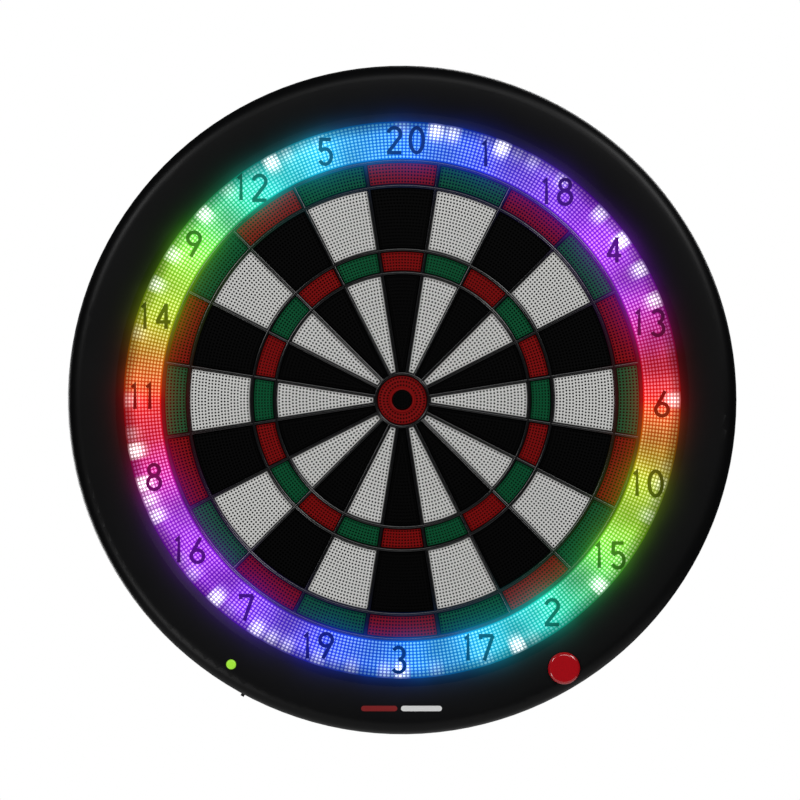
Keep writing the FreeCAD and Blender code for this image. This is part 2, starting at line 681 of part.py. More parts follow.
def button_spring():
    """A coil spring between the button's board and the inside of its cap. Each turn is bent in short steps."""
    low = BUTTON_BOARD_TOP + SPRING_WIRE_R + SPRING_END_GAP
    height = SPRING_SEAT - SPRING_WIRE_R - SPRING_END_GAP - low
    steps = SPRING_TURNS * SPRING_STEPS
    points = []
    for i in range(steps + 1):
        angle = math.tau * i / SPRING_STEPS
        points.append(Vector(SPRING_R * math.cos(angle), SPRING_R * math.sin(angle), height * i / steps))
    section = Part.Wire(Part.makeCircle(SPRING_WIRE_R, points[0], points[1] - points[0]))
    coil = Part.makePolygon(points).makePipeShell([section], True, False, RIGHT_CORNERS)
    coil.translate(around(BUTTON_CIRCLE_R, BUTTON_CLOCK, low))
    return coil


# ---- Power light, switch and socket ----

def power_window():
    centre = around(WINDOW_CIRCLE_R, WINDOW_CLOCK)
    top, seat = BEZEL_H + WINDOW_PROUD, BEZEL_H - SHELL_T - WINDOW_PROUD
    head = disc(WINDOW_R, seat, top, centre)
    rim = [e for e in head.Edges if e.BoundBox.ZMin > top - 1e-3]
    head = head.makeFillet(WINDOW_ROUND, rim)
    flange = disc(WINDOW_R + WINDOW_FLANGE_W, seat - WINDOW_FLANGE_T, seat, centre)
    stem = disc(WINDOW_STEM_R, PCB_TOP + POWER_LIGHT_H + RING_GAP, seat - WINDOW_FLANGE_T, centre)
    return joined([head, flange, stem])


def power_light():
    centre = around(WINDOW_CIRCLE_R, WINDOW_CLOCK)
    return disc(POWER_LIGHT_R, PCB_TOP, PCB_TOP + POWER_LIGHT_H, centre)


def rim_block(along0, along1, r0, r1, low, high, clock):
    """A block at the rim: along the tangent, clockwise positive, and out from the centre."""
    return turned(block(along0, along1, r0, r1, low, high), clock)


def switch_board():
    board = rim_block(-SWITCH_BOARD_BACK, SWITCH_BOARD_ON, SWITCH_BOARD_R - SWITCH_BOARD_L, SWITCH_BOARD_R,
                      PCB_LOW, PCB_TOP, SWITCH_CLOCK)
    return board.cut(board_holes(switch_board_screws()))


def board_holes(places):
    return [disc(M25_R + SCREW_PLAY, PCB_LOW - CUT_OVER, PCB_TOP + CUT_OVER, p) for p in places]


def at_switch(along, radius, z=0.0):
    """A point near the switch, by its distance clockwise along the rim."""
    return FreeCAD.Rotation(Vector(0, 0, 1), -SWITCH_CLOCK).multVec(Vector(along, radius, z))


def switch_board_screws():
    inset = SMALL_BOARD_SCREW_INSET
    radius = SWITCH_BOARD_R - SWITCH_BOARD_L + inset
    return [at_switch(along, radius) for along in (inset - SWITCH_BOARD_BACK, SWITCH_BOARD_ON - inset)]


def thumb_path(r_in, r_out):
    """The space that the switch's thumb sweeps between two radii, with its play."""
    half = THUMB_W / 2 + SWITCH_PLAY
    return rim_block(-half, half + SWITCH_TRAVEL, r_in, r_out, THUMB_Z - half, THUMB_Z + half, SWITCH_CLOCK)


def switch_body():
    body = rim_block(-SWITCH_BACK, SWITCH_ON, SWITCH_FACE_R - SWITCH_DEPTH, SWITCH_FACE_R, PCB_TOP,
                     PCB_TOP + SWITCH_H, SWITCH_CLOCK)
    return body.cut(thumb_path(SWITCH_FACE_R - THUMB_TAIL - SWITCH_PLAY, SWITCH_FACE_R + CUT_OVER))


def switch_thumb():
    half = THUMB_W / 2
    return rim_block(-half, half, SWITCH_FACE_R - THUMB_TAIL, BOARD_R + THUMB_PROUD, THUMB_Z - half,
                     THUMB_Z + half, SWITCH_CLOCK)


def thumb_slot():
    return thumb_path(BOARD_R - SHELL_T - CUT_OVER, BOARD_R + CUT_OVER)


def power_board():
    half = POWER_BOARD_W / 2
    board = block(-half, half, POWER_BOARD_OUT_Y, POWER_BOARD_IN_Y, PCB_LOW, PCB_TOP)
    return board.cut(board_holes(power_board_screws()))


def power_board_screws():
    x = POWER_BOARD_W / 2 - SMALL_BOARD_SCREW_INSET
    y = (POWER_BOARD_OUT_Y + POWER_BOARD_IN_Y) / 2
    return [Vector(-x, y, 0), Vector(x, y, 0)]


def power_socket():
    """A small charging socket: a flat shell with a tongue in it, whose mouth faces down the board."""
    half, inner = SOCKET_W / 2, SOCKET_W / 2 - SOCKET_WALL
    y0, y1 = SOCKET_Y, SOCKET_Y + SOCKET_DEPTH
    low, high = PCB_TOP, PCB_TOP + SOCKET_H
    shell = block(-half, half, y0, y1, low, high)
    hollow = block(-inner, inner, y0 - CUT_OVER, y1 - SOCKET_BACK_T, low + SOCKET_WALL, high - SOCKET_WALL)
    middle, tongue_half = (low + high) / 2, inner - TONGUE_GAP
    tongue = block(-tongue_half, tongue_half, y0 + TONGUE_GAP, y1 - SOCKET_BACK_T / 2, middle - TONGUE_T / 2,
                   middle + TONGUE_T / 2)
    return joined([shell.cut(hollow), tongue])


def socket_recess():
    """Room for a plug's grip in the rim, and a close way for the socket through what is behind it."""
    half_w, half_h = SOCKET_RECESS_W / 2, SOCKET_RECESS_H / 2
    middle = PCB_TOP + SOCKET_H / 2
    recess = block(-half_w, half_w, -BOARD_R - CUT_OVER, SOCKET_Y + SOCKET_PLAY, middle - half_h,
                   middle + half_h)
    half = SOCKET_W / 2 + SOCKET_PLAY
    way = block(-half, half, SOCKET_Y, POWER_BOARD_OUT_Y, PCB_TOP - SOCKET_PLAY,
                PCB_TOP + SOCKET_H + SOCKET_PLAY)
    return recess.fuse(way)


# ---- Control board ----

def control_screws_at():
    x, y = CONTROL_W / 2 - CONTROL_SCREW_INSET, CONTROL_H / 2 - CONTROL_SCREW_INSET
    return [Vector(sx * x, CONTROL_Y + sy * y, 0) for sx in (-1, 1) for sy in (-1, 1)]


def control_board():
    half_w, half_h = CONTROL_W / 2, CONTROL_H / 2
    board = block(-half_w, half_w, CONTROL_Y - half_h, CONTROL_Y + half_h, PCB_LOW, PCB_TOP)
    return board.cut(board_holes(control_screws_at()))


def on_control(x, y, width, height, tall):
    """A part on the control board, by its middle from the board's middle."""
    return block(x - width / 2, x + width / 2, CONTROL_Y + y - height / 2, CONTROL_Y + y + height / 2,
                 PCB_TOP, PCB_TOP + tall)


# Parts on the control board: the middle from the board's own middle, width, height and thickness.
CHIPS = (
    (-8, 0, 14, 14, 1.2), (20, 4, 8, 6, 1.3), (-30, -4, 10, 5, 1.4),
    (34, -12, 3, 2, 0.9), (39, -12, 3, 2, 0.9), (44, -12, 3, 2, 0.9),
    (34, -6, 3, 2, 0.9), (39, -6, 3, 2, 0.9), (44, -6, 3, 2, 0.9),
    (-44, 14, 4, 4, 1.6), (-38, 14, 4, 4, 1.6), (-32, 14, 4, 4, 1.6),
)
RADIO_BOARD = (30, 22, 18, 14, 0.8)
RADIO_SHIELD = (28, 22, 12, 11, 1.8)


def control_chips():
    return group([on_control(*chip) for chip in CHIPS])


def radio_module():
    return joined([on_control(*RADIO_BOARD), on_control(*RADIO_SHIELD)])


def board_sockets():
    """Cable sockets: four along the control board's lower edge, one at its side, two on the power board."""
    edge = (PLUG_L - CONTROL_H) / 2
    sockets = [on_control(side * TAIL_X, edge, TAIL_W, PLUG_L, PLUG_H) for side in (-1, 1)]
    sockets.append(on_control(0, edge, LIGHT_CABLE_W, PLUG_L, PLUG_H))
    sockets.append(on_control(POWER_CABLE_X, edge, PLUG_W, PLUG_L, PLUG_H))
    sockets.append(on_control((CONTROL_W - PLUG_L) / 2, 0, PLUG_L, PLUG_W, PLUG_H))
    sockets += [block(x - PLUG_W / 2, x + PLUG_W / 2, POWER_BOARD_IN_Y - PLUG_L, POWER_BOARD_IN_Y, PCB_TOP,
                      PCB_TOP + PLUG_H) for x in (-POWER_PLUG_X, POWER_PLUG_X)]
    return group(sockets)


def board_screws_at():
    return control_screws_at() + power_board_screws() + switch_board_screws()


def small_screws():
    """The M2.5 screws of the light board, the button's housing and the other boards."""
    screws = [m25(p, LIGHT_TOP, FLOOR + TIP_PLAY) for p in light_screws_at()]
    screws += [m25(p, GUIDE_LOW - EAR_T, GUIDE_LOW + HOUSING_SCREW_L) for p in button_ears()]
    screws += [m25(p, PCB_TOP, COVER_BACK + BOARD_PILOT_FLOOR + BOARD_TIP_PLAY) for p in board_screws_at()]
    return group(screws)


# ---- Cables, laid in the rear cover ----

def cable_path(points):
    """Straight runs joined by tangent arcs of the cables' bend radius."""
    edges, start = [], points[0]
    for before, corner, after in zip(points, points[1:], points[2:]):
        back = (before - corner).normalize()
        on = (after - corner).normalize()
        half_turn = back.getAngle(on) / 2
        reach = CABLE_BEND_R / math.tan(half_turn)
        bisector = (back + on).normalize()
        to_centre = CABLE_BEND_R / math.sin(half_turn)
        arc_in, arc_out = corner + back * reach, corner + on * reach
        arc_mid = corner + bisector * (to_centre - CABLE_BEND_R)
        edges.append(Part.LineSegment(start, arc_in).toShape())
        edges.append(Part.Arc(arc_in, arc_mid, arc_out).toShape())
        start = arc_out
    edges.append(Part.LineSegment(start, points[-1]).toShape())
    return Part.Wire(edges)


def cable(points):
    path = cable_path(points)
    along = (points[1] - points[0]).normalize()
    section = Part.Wire(Part.makeCircle(CABLE_R, points[0], along))
    return path.makePipeShell([section], True, True)


def button_cable_start():
    return around(BUTTON_CIRCLE_R - CABLE_INSET, BUTTON_CLOCK, HOUSING_LOW + HOUSING_FLOOR_T)


def button_cable_points():
    start = button_cable_start()
    low = CABLE_Z - CABLE_R
    side = Vector(CONTROL_W / 2, CONTROL_Y, CABLE_Z)
    return [start, Vector(start.x, start.y, low), around(UNDER_RIB_OUT_R + CABLE_RUN, BUTTON_CLOCK, low),
            around(BACKING_R - CABLE_RUN, BUTTON_CLOCK, CABLE_Z), side + Vector(CABLE_RUN, 0, 0), side]


def power_cable_points():
    x, y = POWER_PLUG_X, POWER_BOARD_IN_Y
    edge = Vector(POWER_CABLE_X, CONTROL_Y - CONTROL_H / 2, CABLE_Z)
    return [Vector(x, y, CABLE_Z), Vector(x, y + CABLE_RUN, CABLE_Z),
            edge - Vector(0, POWER_CABLE_RUN, 0), edge]


def switch_cable_points():
    start = at_switch(-SWITCH_BOARD_BACK, SWITCH_BOARD_R - SWITCH_BOARD_L / 2, CABLE_Z - CABLE_R)
    plug = Vector(-POWER_PLUG_X, POWER_BOARD_IN_Y, CABLE_Z)
    return [start, start + at_switch(-CABLE_RUN, 0), plug + Vector(0, CABLE_RUN, 0), plug]


def crossings(points, radius):
    """Where a route crosses a circle about the board's axis."""
    found = []
    for a, b in zip(points, points[1:]):
        run = Vector(b.x - a.x, b.y - a.y, 0)
        flat = Vector(a.x, a.y, 0)
        square, cross, rest = run.dot(run), 2 * flat.dot(run), flat.dot(flat) - radius * radius
        under_root = cross * cross - 4 * square * rest
        if square < 1e-9 or under_root <= 0:
            continue
        for sign in (-1, 1):
            t = (-cross + sign * math.sqrt(under_root)) / (2 * square)
            if 0 <= t <= 1:
                found.append(flat + run * t)
    return found


def cable_notches():
    """Gaps in the rear cover's two round ribs, where the cables cross them."""
    routes = [button_cable_points(), power_cable_points()]
    routes.append([Vector(0, LIGHT_CABLE_Y, 0), Vector(0, CONTROL_Y, 0)])
    width = LIGHT_CABLE_W / 2 + NOTCH_PLAY
    notches = []
    for radius in (UNDER_RIB_IN_R + UNDER_RIB_T / 2, UNDER_RIB_OUT_R + UNDER_RIB_T / 2):
        for route in routes:
            for point in crossings(route, radius):
                clock = math.degrees(math.atan2(point.x, point.y))
                notches.append(rim_block(-width, width, radius - NOTCH_DEPTH / 2, radius + NOTCH_DEPTH / 2,
                                         PCB_LOW - CABLE_R, LIGHT_TOP, clock))
    return notches


# ---- Rear cover and wall fixing ----

def rear_cover():
    rim_in, edge = RIM_IN_R, COVER_EDGE_CHAMFER
    pan = lathe([(0, 0), (PAD_R, 0), (PAD_R, COVER_BACK), (BOARD_R - edge, COVER_BACK),
                 (BOARD_R, COVER_BACK + edge), (BOARD_R, FLOOR), (COVER_RIM_R, FLOOR),
                 (COVER_RIM_R, FLOOR + COVER_RIM_H), (rim_in, FLOOR + COVER_RIM_H), (rim_in, FLOOR),
                 (PAD_R - COVER_T, FLOOR), (PAD_R - COVER_T, COVER_T), (0, COVER_T)])
    under = FLOOR - WELD
    ribs = [ring(UNDER_RIB_IN_R, UNDER_RIB_IN_R + UNDER_RIB_T, under, BACKING_LOW),
            ring(UNDER_RIB_OUT_R, UNDER_RIB_OUT_R + UNDER_RIB_T, under, BACKING_TOP)]
    pan = joined([pan] + ribs).cut(cable_notches())

    bosses = [around(BOSS_CIRCLE_R, c) for c in cover_boss_clocks()]
    posts = [disc(POST_R, under, BACKING_LOW, p) for p in bosses]
    posts += [disc(SUPPORT_R, under, BACKING_LOW, around(SUPPORT_CIRCLE_R, c)) for c in SUPPORT_CLOCKS]
    posts += [disc(STANDOFF_R, under, BACKING_TOP, p) for p in light_screws_at()]
    posts += [disc(STANDOFF_R, under, PCB_LOW, p) for p in board_screws_at()]
    body = joined([pan] + posts + [pocket(side, POCKET_T) for side in (-1, 1)])

    outside, inside = COVER_BACK - CUT_OVER, FLOOR + CUT_OVER
    cuts = [pocket(side, 0) for side in (-1, 1)]
    cuts += [disc(M3_R + SCREW_PLAY, outside, BACKING_LOW + CUT_OVER, p) for p in bosses]
    cuts += [disc(M3_R + SCREW_PLAY, outside, inside, p) for p in posts_at()]
    cuts += [disc(M25_R + PILOT_PLAY, FLOOR, BACKING_TOP + CUT_OVER, p) for p in light_screws_at()]
    cuts += [disc(M25_R + PILOT_PLAY, COVER_BACK + BOARD_PILOT_FLOOR, PCB_LOW + CUT_OVER, p)
             for p in board_screws_at()]
    cuts += [disc(RIVET_R + RIVET_PLAY, outside, inside, p) for p in rivets_at()]
    cuts += vents()
    cuts.append(socket_recess())
    return body.cut(cuts)


def pocket(side, wall):
    """Room behind a keyhole for a screw's head: the room itself, or with its walls around it."""
    x, low_y = side * HANGER_X, HANGER_Y - KEYHOLE_HEAD_R - KEYHOLE_ROOM
    half = POCKET_W / 2 + wall
    low = FLOOR - WELD if wall else COVER_BACK - CUT_OVER
    return block(x - half, x + half, low_y - wall, low_y + POCKET_L + wall, low,
                 BACKING_LOW - POCKET_OFF_BOARD - POCKET_T + wall)


def vents():
    """Two banks of slots beside the control board."""
    slots = []
    for side in (-1, 1):
        for i in range(VENTS):
            x = side * (VENT_X + VENT_PITCH * i)
            slots.append(block(x - VENT_W / 2, x + VENT_W / 2, VENT_Y - VENT_L / 2, VENT_Y + VENT_L / 2,
                               COVER_BACK - CUT_OVER, FLOOR + CUT_OVER))
    return slots


def hanger_plates():
    """Two steel plates with a keyhole each: a round hole for a screw's head and a slot above it."""
    plates = []
    for side in (-1, 1):
        x = side * HANGER_X
        low, high = COVER_BACK - HANGER_T, COVER_BACK
        middle = HANGER_Y + KEYHOLE_RISE / 2
        half_w, half_l = HANGER_W / 2, HANGER_L / 2
        plate = block(x - half_w, x + half_w, middle - half_l, middle + half_l, low, high)
        corners = [e for e in plate.Edges if abs(e.BoundBox.ZLength - HANGER_T) < 1e-3]
        plate = plate.makeFillet(HANGER_CORNER_R, corners)
        under, over, top = low - CUT_OVER, high + CUT_OVER, HANGER_Y + KEYHOLE_RISE
        keyhole = [disc(KEYHOLE_HEAD_R, under, over, Vector(x, HANGER_Y, 0)),
                   disc(KEYHOLE_SLOT_R, under, over, Vector(x, top, 0)),
                   block(x - KEYHOLE_SLOT_R, x + KEYHOLE_SLOT_R, HANGER_Y, top, under, over)]
        holes = [disc(RIVET_R + RIVET_PLAY, under, over, p) for p in rivets_at()]
        plates.append(plate.cut(keyhole + holes))
    return group(plates)


def rivets_at():
    x, y = HANGER_W / 2 - RIVET_X_INSET, HANGER_L / 2 - RIVET_Y_INSET
    middle = HANGER_Y + KEYHOLE_RISE / 2
    return [Vector(side * HANGER_X + sx * x, middle + sy * y, 0)
            for side in (-1, 1) for sx in (-1, 1) for sy in (-1, 1)]


def hanger_rivets():
    outside = COVER_BACK - HANGER_T
    return group([joined([disc(RIVET_HEAD_R, outside - RIVET_HEAD_H, outside, p),
                          disc(RIVET_R, outside, FLOOR, p),
                          disc(RIVET_HEAD_R, FLOOR, FLOOR + RIVET_HEAD_H, p)]) for p in rivets_at()])


def wall_feet():
    feet = []
    for c in spread(FEET, FIRST_FOOT):
        foot = disc(FOOT_R, 0, COVER_BACK, around(FOOT_CIRCLE_R, c))
        rim = [e for e in foot.Edges if e.BoundBox.ZMax < 1e-3]
        feet.append(foot.makeFillet(FOOT_ROUND, rim))
    return group(feet)


def cover_screws():
    return group([m3(p, COVER_BACK, FLOOR + COVER_SCREW_L) for p in posts_at()])


# ---- All the pieces, by name ----

def pieces():
    """Yields the name and shape of every sub-part."""
    keys = [key(rib_in, rib_out, pegs) for _, rib_in, rib_out, pegs in KEY_RINGS]
    for place, number in enumerate(NUMBERS):
        yield f"sector_{number:02d}", group([turned(k, SECTOR_ANGLE * place) for k in keys])
    for make in (
        outer_bull, inner_bull, spider, rubber_mat, backing_board, spider_screws, target_screws,
        number_ring, light_diffuser, light_reflector, ring_lights, light_board, light_cable,
        front_bezel, rear_cover, cover_screws, wall_feet, hanger_plates, hanger_rivets,
        red_button, button_housing, button_spring, button_switch, button_board,
        power_window, power_light, switch_body, switch_thumb, switch_board, power_socket, power_board,
        control_board, control_chips, radio_module, board_sockets, small_screws,
    ):
        yield make.__name__, make()
    yield "sensor_sheet_rear", sensor_sheet(0)
    yield "sensor_sheet_front", sensor_sheet(1)
    yield "sensor_tails", group([sensor_tail(-1), sensor_tail(1)])
    yield "cables", group([cable(route()) for route in (button_cable_points, power_cable_points,
                                                        switch_cable_points)])


def stand_up(shape):
    shape.rotate(Vector(), Vector(1, 0, 0), 90)
    return shape


os.makedirs("parts", exist_ok=True)
for name, shape in pieces():
    stand_up(shape).exportStep(f"parts/{name}.step")
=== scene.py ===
import math

import bmesh
import bpy
from mathutils import Matrix, Vector


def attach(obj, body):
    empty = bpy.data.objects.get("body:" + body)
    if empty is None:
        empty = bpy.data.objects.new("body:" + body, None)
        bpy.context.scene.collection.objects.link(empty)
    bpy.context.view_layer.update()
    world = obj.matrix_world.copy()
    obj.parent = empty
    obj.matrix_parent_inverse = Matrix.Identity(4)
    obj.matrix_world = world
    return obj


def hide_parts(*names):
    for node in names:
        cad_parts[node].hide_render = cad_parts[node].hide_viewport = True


# The looks of an electronic dartboard. It hangs on a wall at y = 0 with its face towards -y and +z up.
# Sizes are in metres. A clock angle is in degrees from the top, clockwise as a player sees it.

bl_info = {
    "name": "Electronic dartboard",
    "version": (1, 0, 0),
    "blender": (4, 5, 0),
    "location": "3D View > Sidebar > Dartboard",
    "description": "Keys, spider, number ring, trim and finishes of an electronic dartboard",
    "category": "Add Mesh",
}

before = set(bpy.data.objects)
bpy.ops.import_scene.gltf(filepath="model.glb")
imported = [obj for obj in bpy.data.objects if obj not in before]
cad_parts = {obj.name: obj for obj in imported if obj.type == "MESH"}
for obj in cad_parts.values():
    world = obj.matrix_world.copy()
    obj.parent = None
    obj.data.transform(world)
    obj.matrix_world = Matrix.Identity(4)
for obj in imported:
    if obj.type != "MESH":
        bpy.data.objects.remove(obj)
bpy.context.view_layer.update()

# The target: its sectors, how far the faces of the keys and the number ring stand from the wall, how far
# a key's side is from its sector's line, and how wide the bevels on the keys' edges are.
NUMBERS = (20, 1, 18, 4, 13, 6, 10, 15, 2, 17, 3, 19, 7, 16, 8, 11, 14, 9, 12, 5)
SECTOR = 360 / len(NUMBERS)
FACE = 0.032
KEY_SIDE = 0.00165
EDGE = 0.00045

# Each ring of keys: its name, inner and outer radius, rows of holes, and holes in a row. Where that is 0,
# the pitch of the holes decides.
KEY_RINGS = (
    ("double", 0.17945, 0.19675, 6, 21),
    ("outer_single", 0.12655, 0.17595, 18, 0),
    ("triple", 0.10735, 0.12305, 6, 13),
    ("inner_single", 0.02385, 0.10385, 28, 0),
)
# How far past its ring's radii a key's side and its rim may lie, and how level a key's face is.
KEY_MARGIN, RIM_MARGIN, LEVEL = 0.0016, 0.001, 2e-5

# The bulls: their perforated bands' inner and outer radii, their rims, the outer one's underside, bore and
# raised lip, the height of their undersides, and the pitch of their holes as a share of the keys' pitch.
BULL_BANDS = {"outer_bull": (0.0109, 0.0198), "inner_bull": (0.0006, 0.0074)}
OUTER_BULL_R, OUTER_BULL_FOOT, OUTER_BULL_BORE = 0.02035, 0.0112, 0.00855
LIP_IN, LIP_OUT, LIP_FOOT, LIP_RISE = 0.0091, 0.0102, 0.0005, 0.0009
INNER_BULL_R, INNER_BULL_MIDDLE = 0.0081, 0.0002
BULL_LOW = 0.024
BULL_ROWS, BULL_PITCH = 3, 0.92

# The spider's crowns: the round ribs' radii, where the radial ones start, their half widths, the height of
# their feet, and how far the radial ones stay below the round ones.
RIBS = (0.0221, 0.1056, 0.1248, 0.1777, 0.1985)
RADIAL_START = 0.0225
ROUND_HALF, RADIAL_HALF = 0.00128, 0.00118
CROWN_FOOT = 0.0334
RADIAL_DROP = 0.0001

# The number ring: its face, its flange and its back, how deep its holes are, and the lights behind it. Its
# light fades between two radii near its outer edge, and its painted spill, painted light, reaches past both
# of its edges.
RING_IN, RING_OUT = 0.2002, 0.2307
FLANGE_R, FLANGE_TOP, RING_BACK = 0.236, 0.029, 0.027
RING_DEPTH = 0.003
LIGHTS, LIGHT_RADIUS = 100, 0.2245
FADE_FROM, FADE_TO = 0.2205, 0.2295
PAINTED_SPILL_OUT, PAINTED_SPILL_IN = 0.0052, 0.0078

# How strongly a piece shows the painted spill of the ring's light, against the shell, and how bright the
# numerals are, against the ring.
KEY_PAINTED_SPILL, SPIDER_PAINTED_SPILL = 1.5, 2.5
NUMERAL_LIGHT = 0.28

# The shell's face, from the lip round the ring to its crest, as (radius, height), and the printed bars on it.
SHELL_LIP, SHELL_CREST = (0.2376, 0.0382), (0.2655, 0.04)
BAR_LOW, BAR_THICK = -0.2578, 0.0002
BARS = {"red_bar": (-0.034, -0.004, (0.22, 0.002, 0.003)), "white_bar": (-0.001, 0.033, (0.8, 0.8, 0.8))}

# The rear screws: their circle's radius, how many, and the first one's clock angle. Then their crosses, thin
# dark sheets of painted shade for the screws' cross recesses.
SCREW_CIRCLES = {"cover": (0.262, 12, 15.0), "target": (0.2032, 5, 9.0)}
CROSS_WIDE, CROSS_LONG, CROSS_THICK, CROSS_Y = 0.0007, 0.0029, 0.0001, -0.00099

# The stage: the floor, the plane in front of the wall where the view's width is taken, and the lamps, each
# with its place, its size and its power.
FLOOR_R, FLOOR_Z = 0.75, -0.62
VIEW_PLANE = 0.025
LAMPS = {
    "upper_right": ((1.25, -1.3, 1.15), 0.7, 17), "upper_left": ((-1.3, -1.5, 0.9), 0.6, 11),
    "low_left": ((-0.9, -1.2, -0.9), 0.35, 5), "front": ((0.3, -2.6, 1.3), 1.2, 15),
    "behind": ((0.9, 2.2, 1.2), 1.4, 45), "behind_low": ((-1.4, 1.8, -0.4), 1.0, 20),
}


class TargetSettings(bpy.types.PropertyGroup):
    """Sizes and colours of the target."""
    hole_share: bpy.props.FloatProperty(
        name="Hole share", description="A hole's width as a share of the holes' pitch", default=0.64,
        min=0.2, max=0.85)
    hole_pitch: bpy.props.FloatProperty(
        name="Hole pitch", description="From one hole to the next in the single keys' rows", default=0.00265,
        min=0.001, max=0.01, unit="LENGTH", precision=5)
    hole_depth: bpy.props.FloatProperty(
        name="Hole depth", description="How far the dart holes go in", default=0.0026, min=0.0005, max=0.006,
        unit="LENGTH", precision=5)
    crown: bpy.props.FloatProperty(
        name="Rib crown", description="How far the ribs' rounded crowns stand up", default=0.0009,
        min=0.0002, max=0.003, unit="LENGTH", precision=5)
    black: bpy.props.FloatVectorProperty(
        name="Black keys", description="Colour of the black singles", subtype="COLOR", size=3,
        default=(0.0005, 0.0005, 0.00055), min=0, max=1)
    white: bpy.props.FloatVectorProperty(
        name="White keys", description="Colour of the white singles", subtype="COLOR", size=3,
        default=(0.7, 0.7, 0.68), min=0, max=1)
    red: bpy.props.FloatVectorProperty(
        name="Red keys", description="Colour of the red doubles and triples", subtype="COLOR", size=3,
        default=(0.21, 0.0009, 0.0007), min=0, max=1)
    green: bpy.props.FloatVectorProperty(
        name="Green keys", description="Colour of the green doubles and triples", subtype="COLOR", size=3,
        default=(0.0006, 0.085, 0.029), min=0, max=1)


class RingSettings(bpy.types.PropertyGroup):
    """Sizes and light of the number ring."""
    rows: bpy.props.IntProperty(
        name="Rows", description="Rows of holes across the ring", default=11, min=2, max=30)
    columns: bpy.props.IntProperty(
        name="Columns", description="Holes round the ring", default=440, min=40, max=900)
    hole_share: bpy.props.FloatProperty(
        name="Hole share", description="A hole's width as a share of the holes' pitch", default=0.73,
        min=0.2, max=0.85)
    web_light: bpy.props.FloatProperty(
        name="Web light", description="How brightly the plastic between the holes glows", default=1.4,
        min=0, max=10)
    hole_light: bpy.props.FloatProperty(
        name="Hole light", description="How brightly the diffuser shines through the holes", default=1.6,
        min=0, max=50)
    # The painted spill: painted light, the ring's glow painted as emission on the pieces beside it.
    spill: bpy.props.FloatProperty(
        name="Spill", description="How much of the ring's light the pieces beside it catch", default=0.24,
        min=0, max=2)
    digit_height: bpy.props.FloatProperty(
        name="Digit height", description="Height of the numerals", default=0.0236, min=0.01, max=0.03,
        unit="LENGTH", precision=4)
    digit_turn: bpy.props.FloatProperty(
        name="Digit turn", description="How far clockwise the numerals sit past the middle of their sectors",
        default=math.radians(0.75), unit="ROTATION")
    digit_stroke: bpy.props.FloatProperty(
        name="Digit stroke", description="Width of the numerals' strokes", default=0.003,
        min=0.001, max=0.006, unit="LENGTH", precision=4)


class ShellSettings(bpy.types.PropertyGroup):
    """Finish of the shell and the trim on it."""
    black: bpy.props.FloatVectorProperty(
        name="Shell black", description="Colour of the front shell", subtype="COLOR", size=3,
        default=(0.0024, 0.0024, 0.0026), min=0, max=1)
    roughness: bpy.props.FloatProperty(
        name="Roughness", description="Roughness of the front shell", default=0.4, min=0, max=1)
    button_red: bpy.props.FloatVectorProperty(
        name="Button red", description="Colour of the button's cap", subtype="COLOR", size=3,
        default=(0.45, 0.003, 0.008), min=0, max=1)
    bar_height: bpy.props.FloatProperty(
        name="Bar height", description="Height of the two printed bars", default=0.0045, min=0.001, max=0.01,
        unit="LENGTH", precision=4)


class StageSettings(bpy.types.PropertyGroup):
    """The camera's place and view."""
    distance: bpy.props.FloatProperty(
        name="Camera distance", description="From the camera to the wall", default=6.0, min=1, max=20,
        unit="LENGTH")
    view_width: bpy.props.FloatProperty(
        name="View width", description="Width of what the camera takes in at the board", default=0.6643,
        min=0.1, max=5, unit="LENGTH", precision=4)
    aim_x: bpy.props.FloatProperty(
        name="Aim", description="How far right of the bull the camera is aimed", default=-0.0018,
        unit="LENGTH", precision=4)


# ---- Node trees ----

def feed(tree, node, values):
    """Gives a node's sockets, by name or number, a value each or the output that feeds it."""
    for key, value in values.items():
        if isinstance(value, bpy.types.NodeSocket):
            tree.links.new(value, node.inputs[key])
        else:
            node.inputs[key].default_value = value


def add(tree, kind, values=None, **settings):
    """Adds a node with its settings, and feeds it its values."""
    node = tree.nodes.new(kind)
    for name, value in settings.items():
        setattr(node, name, value)
    feed(tree, node, values or {})
    return node


def maths(tree, operation, *terms):
    """One maths node on up to three terms."""
    return add(tree, "ShaderNodeMath", dict(enumerate(terms)), operation=operation).outputs[0]


def total(tree, first, *rest):
    """The sum of several values."""
    for term in rest:
        first = maths(tree, "ADD", first, term)
    return first


def product(tree, first, *rest):
    """The product of several values."""
    for term in rest:
        first = maths(tree, "MULTIPLY", first, term)
    return first


def combined(tree, operation, first, second):
    """Two colours or vectors, multiplied or added."""
    return add(tree, "ShaderNodeVectorMath", {0: first, 1: second}, operation=operation).outputs[0]


def node_group(name, kind, inputs, outputs):
    """A new node group, and its input and output nodes. inputs and outputs are (name, type, default)."""
    tree = bpy.data.node_groups.new(name, kind)
    for direction, sockets in (("INPUT", inputs), ("OUTPUT", outputs)):
        for socket_name, socket_type, *default in sockets:
            socket = tree.interface.new_socket(socket_name, in_out=direction, socket_type=socket_type)
            if default:
                socket.default_value = default[0]
    return tree, tree.nodes.new("NodeGroupInput"), tree.nodes.new("NodeGroupOutput")


